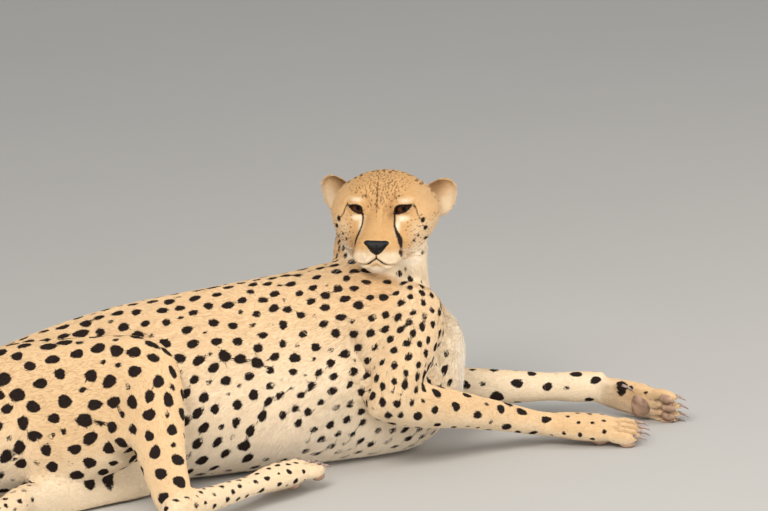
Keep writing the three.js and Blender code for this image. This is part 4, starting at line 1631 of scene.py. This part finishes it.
# ---- Pieces ----
class CHEETAH_OT_skin(bpy.types.Operator):
    """Builds the one skin that covers all the flesh, with its lids and lips"""

    bl_idname = "cheetah.skin"
    bl_label = "Build the skin"

    def execute(self, context):
        settings = context.scene.cheetah_skin
        source = new_object("skin_source", body_source())
        cells = source.modifiers.new("cells", "REMESH")
        cells.mode = "VOXEL"
        cells.voxel_size = settings.grain
        mesh = applied(source)
        bpy.data.objects.remove(source)
        largest_shell(mesh)
        points, triangles = mesh_arrays(mesh)
        edges = mesh_edges(mesh)
        fine, limb = fine_share(points), limb_share(points)
        share = (1 - fine) * (1 - 0.72 * limb) * 0.9
        points = neighbour_mean(points, edges, settings.flesh_relax, share)
        points = neighbour_mean(points, edges, 3, 0.5)
        normals = vertex_normals(points, triangles)
        points = part_toes(shape_body(points, normals), normals)
        depth = coat_depth(points, normals, settings.body_coat_depth / MM)
        points -= normals * depth[:, None]
        points[:, 2] = np.maximum(points[:, 2], LOWEST_SKIN)
        set_vertices(mesh, points)
        refine_face(mesh)
        shape_face(mesh)
        skin = new_object("skin", mesh)
        skin.data = lighten(skin, settings.triangles)
        skin.vertex_groups.clear()
        skin.data.name = "skin"
        skin.data.shade_smooth()
        SHARED["surface"] = Surface(skin.data)
        finish_piece(skin, FLESH)
        SHARED["skin"] = skin
        return {"FINISHED"}


class CHEETAH_OT_markings(bpy.types.Operator):
    """Scatters the spots and colours the skin"""

    bl_idname = "cheetah.markings"
    bl_label = "Mark the coat"

    def execute(self, context):
        surface, skin = SHARED["surface"], SHARED["skin"]
        rng = np.random.default_rng(SEED)
        even = np.ones(len(surface.points))
        face_only = is_part(surface.part, "head").astype(float)
        spots = scatter_spots(sample_roots(surface, even, BODY_ROOTS, rng), rng)
        face_spots(spots, sample_roots(surface, face_only, FACE_ROOTS, rng), rng)
        SHARED["spots"] = spots
        near = near_spots(surface.points, spots)
        far, dark = markings(surface.points, surface.normals, surface.part, spots, near)
        for name, values in (("distance", far), ("dark", dark)):
            add_attribute(skin.data, name, values)
        for name in ("pale", "gold", "shade"):
            add_attribute(skin.data, name, surface.traits[name])
        SHARED["colours"] = coat_group()
        skin.data.materials.clear()
        skin.data.materials.append(coat_material("skin_coat", SHARED["colours"], True))
        return {"FINISHED"}


# The pieces of the coat: the parts each covers, and how many of the tufts it has, as a share.
COATS = {
    "coat_head": (("head", "ear"), 1.0),
    "coat_neck_chest": (("neck", "chest"), 1.0),
    "coat_belly": (("belly",), 1.0),
    "coat_hindquarters": (("hindquarters", "tail"), 1.0),
    "coat_foreleg_right": (("upper_arm_right", "forearm_right", "forepaw_right"), 1.0),
    "coat_foreleg_left": (("upper_arm_left", "forearm_left", "forepaw_left"), 0.9),
    "coat_hindleg_right": (("thigh_right", "shin_right", "hindpaw_right"), 1.0),
    "coat_hindleg_left": (("thigh_left", "shin_left", "hindpaw_left"), 0.8),
}


ASKEW = [0.31, 0.2, 0.93]  # a direction that no bone has


def unwrap(points, part, patch):
    """A place in the square for each root: each part has a strip of its own, unrolled round its bone."""
    numbers = np.unique(part)
    uv = np.zeros((len(points), 2))
    for strip, number in enumerate(numbers):
        here = part == number
        name = FLESH[number]
        line = np.asarray(BONES[name], float)
        if name == "head" or name.startswith("ear"):
            line = from_head(line)
        axis = unit(line[-1] - line[0])
        side = unit(np.cross(axis, ASKEW))
        other = np.cross(axis, side)
        gap = points[here] - line.mean(0)
        round_it = np.arctan2(gap @ other, gap @ side) / (2 * math.pi) + 0.5
        along = gap @ axis
        along = (along - along.min()) / max(np.ptp(along), 1e-6)
        low, high = strip / len(numbers) + patch, (strip + 1) / len(numbers) - patch
        uv[here, 0] = patch + (1 - 2 * patch) * along
        uv[here, 1] = low + (high - low) * round_it
    return uv


PATCH = 0.003
ROOT_DEPTH = 0.35
CLUMPS = [(26.0, 0.16), (9.0, 0.12)]  # the size of the clumps and how far they turn the tufts
LOWEST_TIP, LOWEST_CORNER = 0.3, 0.15
UNDERSIDE_SHARE = 0.12  # how many of the tufts grow where the body rests on the floor


def tuft_piece(name, roots, spots, rng):
    """One piece of the coat: a thin three-sided blade at each root, laid along the coat."""
    count = len(roots["points"])
    normals, lie = roots["normals"], roots["lie"]
    sideways = np.cross(normals, lie)
    clumps = enumerate(CLUMPS)
    clump = sum(wander(roots["points"], wave, SEED + number) * turn for number, (wave, turn) in clumps)
    yaw = clump + rng.normal(scale=0.14, size=count)
    heading = lie * np.cos(yaw)[:, None] + sideways * np.sin(yaw)[:, None]
    lift = np.radians(roots["lift"] * rng.uniform(0.55, 1.45, count))
    way = heading * np.cos(lift)[:, None] + normals * np.sin(lift)[:, None]
    length = roots["length"] * rng.uniform(0.72, 1.25, count)
    width = roots["width"] * rng.uniform(0.75, 1.25, count)
    across = unit(np.cross(way, normals)) * (width / 2)[:, None]
    base = roots["points"] - normals * ROOT_DEPTH
    left, right = base - across, base + across
    ridge = base + normals * (0.28 * width + 0.25)[:, None] + heading * (0.12 * length)[:, None]
    tip = base + way * length[:, None]
    tip[:, 2] = np.maximum(tip[:, 2], LOWEST_TIP)
    corners = np.stack([left, right, ridge, tip], 1).reshape(-1, 3)
    corners[:, 2] = np.maximum(corners[:, 2], LOWEST_CORNER)
    faces = np.array([(0, 2, 3), (2, 1, 3), (0, 3, 1), (0, 1, 2)])
    triangles = (faces[None] + 4 * np.arange(count)[:, None, None]).reshape(-1, 3)
    mesh = triangle_mesh(name, corners, triangles)
    vary = np.clip(0.5 + 0.22 * rng.normal(size=count) + 0.12 * wander(roots["points"], 40.0, 3), 0, 1)
    near = near_spots(roots["points"] + heading * (length / 2)[:, None], spots)
    root_far, root_dark = markings(roots["points"], normals, roots["part"], spots, near)
    ends = roots["points"] + heading * length[:, None]
    tip_far, tip_dark = markings(ends, normals, roots["part"], spots, near)
    ragged = rng.normal(scale=0.45, size=count)
    low_far = 0.75 * root_far + 0.25 * tip_far
    far = np.stack([low_far] * 3 + [tip_far], 1) + ragged[:, None]
    add_attribute(mesh, "distance", far.ravel())
    add_attribute(mesh, "dark", np.stack([root_dark] * 3 + [tip_dark], 1).ravel())
    for title in ("pale", "gold", "shade"):
        add_attribute(mesh, title, np.repeat(roots[title], 4))
    add_attribute(mesh, "vary", np.repeat(vary, 4))
    centre = unwrap(roots["points"], roots["part"], PATCH)
    corner = np.array([(-0.5, -0.5), (0.5, -0.5), (0, 0.1), (0, 0.5)]) * PATCH
    uv = (centre[:, None] + corner[None]).reshape(-1, 2)
    layer = mesh.uv_layers.new(name="OFBake")
    layer.data.foreach_set("uv", uv[triangles.ravel()].astype(np.float32).ravel())
    return mesh


def triangle_mesh(name, corners, triangles):
    mesh = bpy.data.meshes.new(name)
    mesh.vertices.add(len(corners))
    mesh.vertices.foreach_set("co", to_model(corners).astype(np.float32).ravel())
    mesh.loops.add(triangles.size)
    mesh.loops.foreach_set("vertex_index", triangles.astype(np.int32).ravel())
    mesh.polygons.add(len(triangles))
    mesh.polygons.foreach_set("loop_start", np.arange(0, triangles.size, 3, dtype=np.int32))
    mesh.update(calc_edges=True)
    mesh.shade_flat()
    return mesh


class CHEETAH_OT_coat(bpy.types.Operator):
    """Grows the coat's tufts over the skin, in pieces"""

    bl_idname = "cheetah.coat"
    bl_label = "Grow the coat"

    def execute(self, context):
        surface, spots = SHARED["surface"], SHARED["spots"]
        settings = context.scene.cheetah_coat
        material = coat_material("coat_tufts", SHARED["colours"], False)
        traits = surface.traits
        closeness = 1 / (traits["length"] * traits["width"])
        floor_side = (surface.points[:, 2] < 4) & (surface.normals[:, 2] < -0.6)
        closeness = closeness * np.where(floor_side, UNDERSIDE_SHARE, 1.0)
        quick = 1.0
        for number, (name, (parts, share)) in enumerate(COATS.items()):
            rng = np.random.default_rng(SEED + 10 + number)
            here = is_part(surface.part, *parts).astype(float)
            count = int(settings.tufts * share * quick)
            roots = sample_roots(surface, closeness * here, count, rng)
            kept = ~bare_places(roots)
            roots = {key: values[kept] for key, values in roots.items()}
            mesh = tuft_piece(name, roots, spots, rng)
            mesh.materials.append(material)
            finish_piece(new_object(name, mesh))
        return {"FINISHED"}


GAZE = aim(-107, 10)
EYE_INSET = 0.5  # how much smaller the eyeball is than its socket
CORNEA_RISE, CORNEA_REACH = 1.1, 0.5


class CHEETAH_OT_eyes(bpy.types.Operator):
    """Builds the two eyes, each with a raised cornea"""

    bl_idname = "cheetah.eyes"
    bl_label = "Build the eyes"

    def execute(self, context):
        material = eye_material()
        gaze = unit(HEAD_AXES @ GAZE)
        for name, side in (("eye_right", -1), ("eye_left", 1)):
            bm, ball = ball_form(64, 48)
            angle = np.arccos(np.clip(ball @ gaze, -1, 1))
            radius = (EYE_RADIUS - EYE_INSET) + CORNEA_RISE * np.exp(-((angle / CORNEA_REACH) ** 4))
            centre = EYE_AT * [1, side, 1]
            move_points(bm, to_model(from_head(ball * radius[:, None] + centre)))
            eye = set_down("shown_" + name, bm, material, [name])
            add_attribute(eye.data, "off_axis", angle / (math.pi / 2))
            # A painted shadow of the upper lid: the top of the eyeball is darker.
            add_attribute(eye.data, "lid_light", 1 - 0.75 * ease(0.1, 0.55, ball[:, 2]))
        return {"FINISHED"}


# The slit of a nostril as places across and up, and how wide and how deep it is.
NOSTRIL = [(5.5, -46.5), (10.0, -45.0), (13.5, -41.5)]
NOSTRIL_WIDTH, NOSTRIL_DEPTH = 2.2, 3.4


class CHEETAH_OT_nose(bpy.types.Operator):
    """Builds the nose leather with its nostrils and the groove down its middle"""

    bl_idname = "cheetah.nose"
    bl_label = "Build the nose"

    def execute(self, context):
        bm, ball = ball_form(72, 56)
        square = np.maximum(1 - np.abs(ball[:, 1]) ** NOSE_SQUARE, 0) ** (1 / NOSE_SQUARE)
        round_edge = np.sqrt(np.maximum(1 - ball[:, 1] ** 2, 1e-6))
        ball[:, 2] *= np.where(ball[:, 2] > 0, NOSE_TOP * square / round_edge, 1)
        points = ball * NOSE_RADII + NOSE_AT
        taper = nose_taper(points[:, 2])
        points[:, 1] *= taper
        points[:, 0] -= 3.2 * (1 - taper)
        side, up = np.abs(points[:, 1]), points[:, 2]
        front = ease(0.05, 0.3, ball[:, 0])
        hole, _ = to_line(np.stack([side, up], 1), NOSTRIL)
        dip = NOSTRIL_DEPTH * hill(hole, NOSTRIL_WIDTH) + 0.8 * hill(side, 1.1) * (up < -38)
        wing = 0.9 * hill(hole - 4.0, NOSTRIL_WIDTH)
        points[:, 0] += (wing - dip) * front
        move_points(bm, to_model(from_head(points)))
        colour = context.scene.cheetah_face.nose
        material = leather_material("nose_skin", colour, rough=0.5, scale=900, depth=0.0003)
        set_down("nose_leather", bm, material, ["nose"])
        return {"FINISHED"}


# ---- Paws ----
def tapered_bar(segments, tip, cuts):
    """A cone cut into short lengths."""
    bm = bmesh.new()
    bmesh.ops.create_cone(bm, cap_ends=True, segments=segments, radius1=1, radius2=tip, depth=1)
    edges = [e for e in bm.edges if abs(e.verts[0].co.z - e.verts[1].co.z) > 0.5]
    bmesh.ops.subdivide_edges(bm, edges=edges, cuts=cuts)
    return bm


CLAW_ROOT, CLAW_LENGTH = 5.0, 21.5
CLAW_BEND = 6.0
CLAW_SIDE, CLAW_DEPTH = 2.2, 3.0
OFF_FLOOR = 0.0003  # metres


def claw_form(place, axes, origin):
    """One claw: a cone drawn out along a downward curve, flattened, with its tip off the floor."""
    bm = tapered_bar(14, 0.06, 7)
    shares = [vertex.co.z + 0.5 for vertex in bm.verts]
    for vertex, share in zip(bm.verts, shares):
        full = max(1 - share, 0.004) ** 0.6 / (1 - 0.94 * share)
        along = -CLAW_ROOT + CLAW_LENGTH * share
        drop = -CLAW_BEND * share**2.2 + 2.0
        local = (along, CLAW_SIDE * full * vertex.co.x, drop + CLAW_DEPTH * full * vertex.co.y)
        vertex.co = to_model((np.array(local) + place) @ axes + origin)
    sunk = max(0.0005 - min(vertex.co.z for vertex in bm.verts), 0)
    for vertex, share in zip(bm.verts, shares):
        vertex.co.z = max(vertex.co.z + sunk * min(1.2 * share, 1), OFF_FLOOR)
    return bm


class CHEETAH_OT_claws(bpy.types.Operator):
    """Builds the claws of each paw"""

    bl_idname = "cheetah.claws"
    bl_label = "Build the claws"

    def execute(self, context):
        colour = context.scene.cheetah_face.claw
        stops = [(0.32, times(colour, 0.35)), (0.62, tuple(colour))]
        material = mottled_material("claw_horn", 0.38, 0.45, stops, scale=260, detail=3)
        for name, (start, knuckles, up, inner) in FEET.items():
            axes = foot_axes(start, knuckles, up)
            places = [np.array([toe_length(lane) * 0.86, lane * TOE_PITCH, 1.5]) for lane in LANES]
            if inner:
                places.append(np.array([-38.0, 27.0 * inner, -12.0]))
            bm = bmesh.new()
            for place in places:
                add_form(bm, claw_form(place, axes, knuckles))
            nodes = [f"claw_{name}_{k + 1}" for k in range(len(places))]
            set_down("claws_" + name, bm, material, nodes)
        return {"FINISHED"}


PAD_BEND = 0.012


class CHEETAH_OT_pads(bpy.types.Operator):
    """Builds the bare pads under each paw"""

    bl_idname = "cheetah.pads"
    bl_label = "Build the pads"

    def execute(self, context):
        colour = context.scene.cheetah_face.pad
        material = leather_material("pad_skin", colour, rough=0.7, scale=700, depth=0.0005)
        for name, (start, knuckles, up, _) in FEET.items():
            axes = foot_axes(start, knuckles, up)
            whole = bmesh.new()
            for centre, radii in PADS:
                bm, ball = ball_form(28, 20)
                local = ball * radii
                local[:, 0] -= PAD_BEND * local[:, 1] ** 2
                points = to_model((local + centre) @ axes + knuckles)
                points[:, 2] = np.maximum(points[:, 2], OFF_FLOOR)
                move_points(bm, points)
                add_form(whole, bm)
            set_down("pads_" + name, whole, material)
        return {"FINISHED"}


def whisker_roots(rng):
    """Root, way and length of each whisker: four rows beside the mouth and two hairs on each brow."""
    for side in (-1, 1):
        for row in range(4):
            for column in range(4):
                spot = (57 - 5.5 * column, 25 + 3.6 * column, -48 - 4.6 * row - column)
                way = (0.15 - 0.16 * column, 1.0, 0.14 - 0.22 * row)
                way = unit(np.array(way) + rng.normal(scale=0.08, size=3)) * [1, side, 1]
                yield np.array(spot) * [1, side, 1], way, rng.uniform(38, 66)
        for k in range(2):
            root = np.array([12, (27 + 6 * k) * side, 17])
            yield root, unit([0.9, 0.35 * side, 0.7]), rng.uniform(18, 28)


WHISKER_RADIUS = 0.17
WHISKER_SAG = np.array([-0.2, 0, -0.22])
WHISKER_STOPS = [(0, (0.55, 0.5, 0.43)), (1, (0.85, 0.82, 0.76))]


class CHEETAH_OT_whiskers(bpy.types.Operator):
    """Builds the whiskers beside the mouth and over the eyes"""

    bl_idname = "cheetah.whiskers"
    bl_label = "Build the whiskers"

    def execute(self, context):
        bm = bmesh.new()
        for root, way, length in whisker_roots(np.random.default_rng(SEED + 40)):
            side = unit(np.cross(way, [0, 0, 1]))
            other = np.cross(side, way)
            hair = tapered_bar(4, 0.15, 6)
            for vertex in hair.verts:
                share = vertex.co.z + 0.5
                place = root + way * (length * share - 5) + WHISKER_SAG * length * share**2
                place = place + WHISKER_RADIUS * (vertex.co.x * side + vertex.co.y * other)
                vertex.co = to_model(from_head(place))
            add_form(bm, hair)
        material = mottled_material("whisker", 0.45, 0.4, WHISKER_STOPS, scale=120)
        set_down("whiskers", bm, material)
        return {"FINISHED"}


# ---- Stage ----
CAMERA_HEADING = -17.0
CAMERA_PITCH = 14.0
CAMERA_ROLL = 2.0
CAMERA_FAR = 8000.0
PIXELS_WIDE = 768
PIXELS_PER_MM = 0.67
LOOK_UP = 195 / PIXELS_PER_MM  # how far above the middle of the floor the view is centred
FOCAL_PIXELS = 5360.0
FLOOR_HALF = 40.0
SKY_COLOUR = (0.93, 0.96, 1.0)
# The soft lamps: where each is in metres, how wide, and its colour.
LAMPS = {
    "window": ((-1.6, -2.4, 3.4), 2.2, (1.0, 0.965, 0.91)),
    "fill": ((3.6, -1.5, 2.2), 2.5, (1.0, 0.98, 0.95)),
    "front": ((0.9, -4.4, 1.2), 3.0, (1.0, 0.98, 0.95)),
}
LAMPS_AIM = Vector((0.1, 0.0, 0.15))


class CHEETAH_OT_stage(bpy.types.Operator):
    """Sets the floor, the soft lights and the camera"""

    bl_idname = "cheetah.stage"
    bl_label = "Set the stage"

    def execute(self, context):
        settings = context.scene.cheetah_stage
        bm = bmesh.new()
        bmesh.ops.create_grid(bm, x_segments=2, y_segments=2, size=FLOOR_HALF)
        mesh = free_to_mesh("floor", bm)
        stops = [(0, times(settings.floor, 0.98)), (1, times(settings.floor, 1.02))]
        mesh.materials.append(mottled_material("floor_plain", 0.9, 0.1, stops, scale=2.5))
        new_object("floor", mesh)
        world = bpy.data.worlds.new("soft")
        world.use_nodes = True
        sky = world.node_tree.nodes["Background"]
        sky.inputs["Color"].default_value = (*SKY_COLOUR, 1)
        sky.inputs["Strength"].default_value = settings.sky
        context.scene.world = world
        for name, (place, size, colour) in LAMPS.items():
            self.lamp(name, place, size, getattr(settings, name), colour)
        self.camera(context)
        context.scene.view_settings.view_transform = "Standard"
        return {"FINISHED"}

    def lamp(self, name, place, size, power, colour):
        light = bpy.data.lights.new(name, "AREA")
        light.shape = "DISK"
        light.size = size
        light.energy = power
        light.color = colour
        lamp = bpy.data.objects.new(name, light)
        lamp.location = place
        lamp.rotation_mode = "QUATERNION"
        lamp.rotation_quaternion = (LAMPS_AIM - Vector(place)).to_track_quat("-Z", "Y")
        bpy.context.scene.collection.objects.link(lamp)

    def camera(self, context):
        azimuth, rise = math.radians(CAMERA_HEADING), math.radians(CAMERA_PITCH)
        roll = math.radians(CAMERA_ROLL)
        flat = math.cos(rise)
        back = Vector((math.sin(azimuth) * flat, -math.cos(azimuth) * flat, math.sin(rise)))
        level = Vector((math.cos(azimuth), math.sin(azimuth), 0))
        lifted = back.cross(level)
        right = level * math.cos(roll) - lifted * math.sin(roll)
        up = lifted * math.cos(roll) + level * math.sin(roll)
        lens = bpy.data.cameras.new("camera")
        lens.sensor_width = 36.0
        lens.lens = FOCAL_PIXELS / PIXELS_WIDE * lens.sensor_width
        lens.clip_start, lens.clip_end = 0.1, 200.0
        camera = bpy.data.objects.new("camera", lens)
        spot = to_model(np.array(up * LOOK_UP + back * CAMERA_FAR))
        camera.matrix_world = Matrix.Translation(spot) @ Matrix((right, up, back)).transposed().to_4x4()
        context.scene.collection.objects.link(camera)
        context.scene.camera = camera


class CHEETAH_PT_panel(bpy.types.Panel):
    """The settings of each group, above the steps that use them"""

    bl_idname = "CHEETAH_PT_panel"
    bl_label = "Resting cheetah"
    bl_space_type = "VIEW_3D"
    bl_region_type = "UI"
    bl_category = "Cheetah"

    def draw(self, context):
        for group, steps in PANEL_ROWS.items():
            box = self.layout.box()
            settings = getattr(context.scene, group)
            for name in settings.__annotations__:
                box.prop(settings, name)
            for step in steps:
                box.operator(step.bl_idname)


SETTINGS = {
    "cheetah_skin": SkinSettings,
    "cheetah_markings": MarkingSettings,
    "cheetah_coat": CoatSettings,
    "cheetah_face": FaceSettings,
    "cheetah_stage": StageSettings,
}
PANEL_ROWS = {
    "cheetah_skin": (CHEETAH_OT_skin,),
    "cheetah_markings": (CHEETAH_OT_markings,),
    "cheetah_coat": (CHEETAH_OT_coat,),
    "cheetah_face": (
        CHEETAH_OT_eyes,
        CHEETAH_OT_nose,
        CHEETAH_OT_claws,
        CHEETAH_OT_pads,
        CHEETAH_OT_whiskers,
    ),
    "cheetah_stage": (CHEETAH_OT_stage,),
}
OPERATORS = [step for steps in PANEL_ROWS.values() for step in steps]


def register():
    for group in (*SETTINGS.values(), *OPERATORS, CHEETAH_PT_panel):
        bpy.utils.register_class(group)
    for name, group in SETTINGS.items():
        setattr(bpy.types.Scene, name, PointerProperty(type=group))


def unregister():
    for name in SETTINGS:
        delattr(bpy.types.Scene, name)
    for group in reversed((*SETTINGS.values(), *OPERATORS, CHEETAH_PT_panel)):
        bpy.utils.unregister_class(group)


def main():
    register()
    for step in OPERATORS:
        category, name = step.bl_idname.split(".")
        getattr(getattr(bpy.ops, category), name)()


if __name__ == "__main__":
    main()
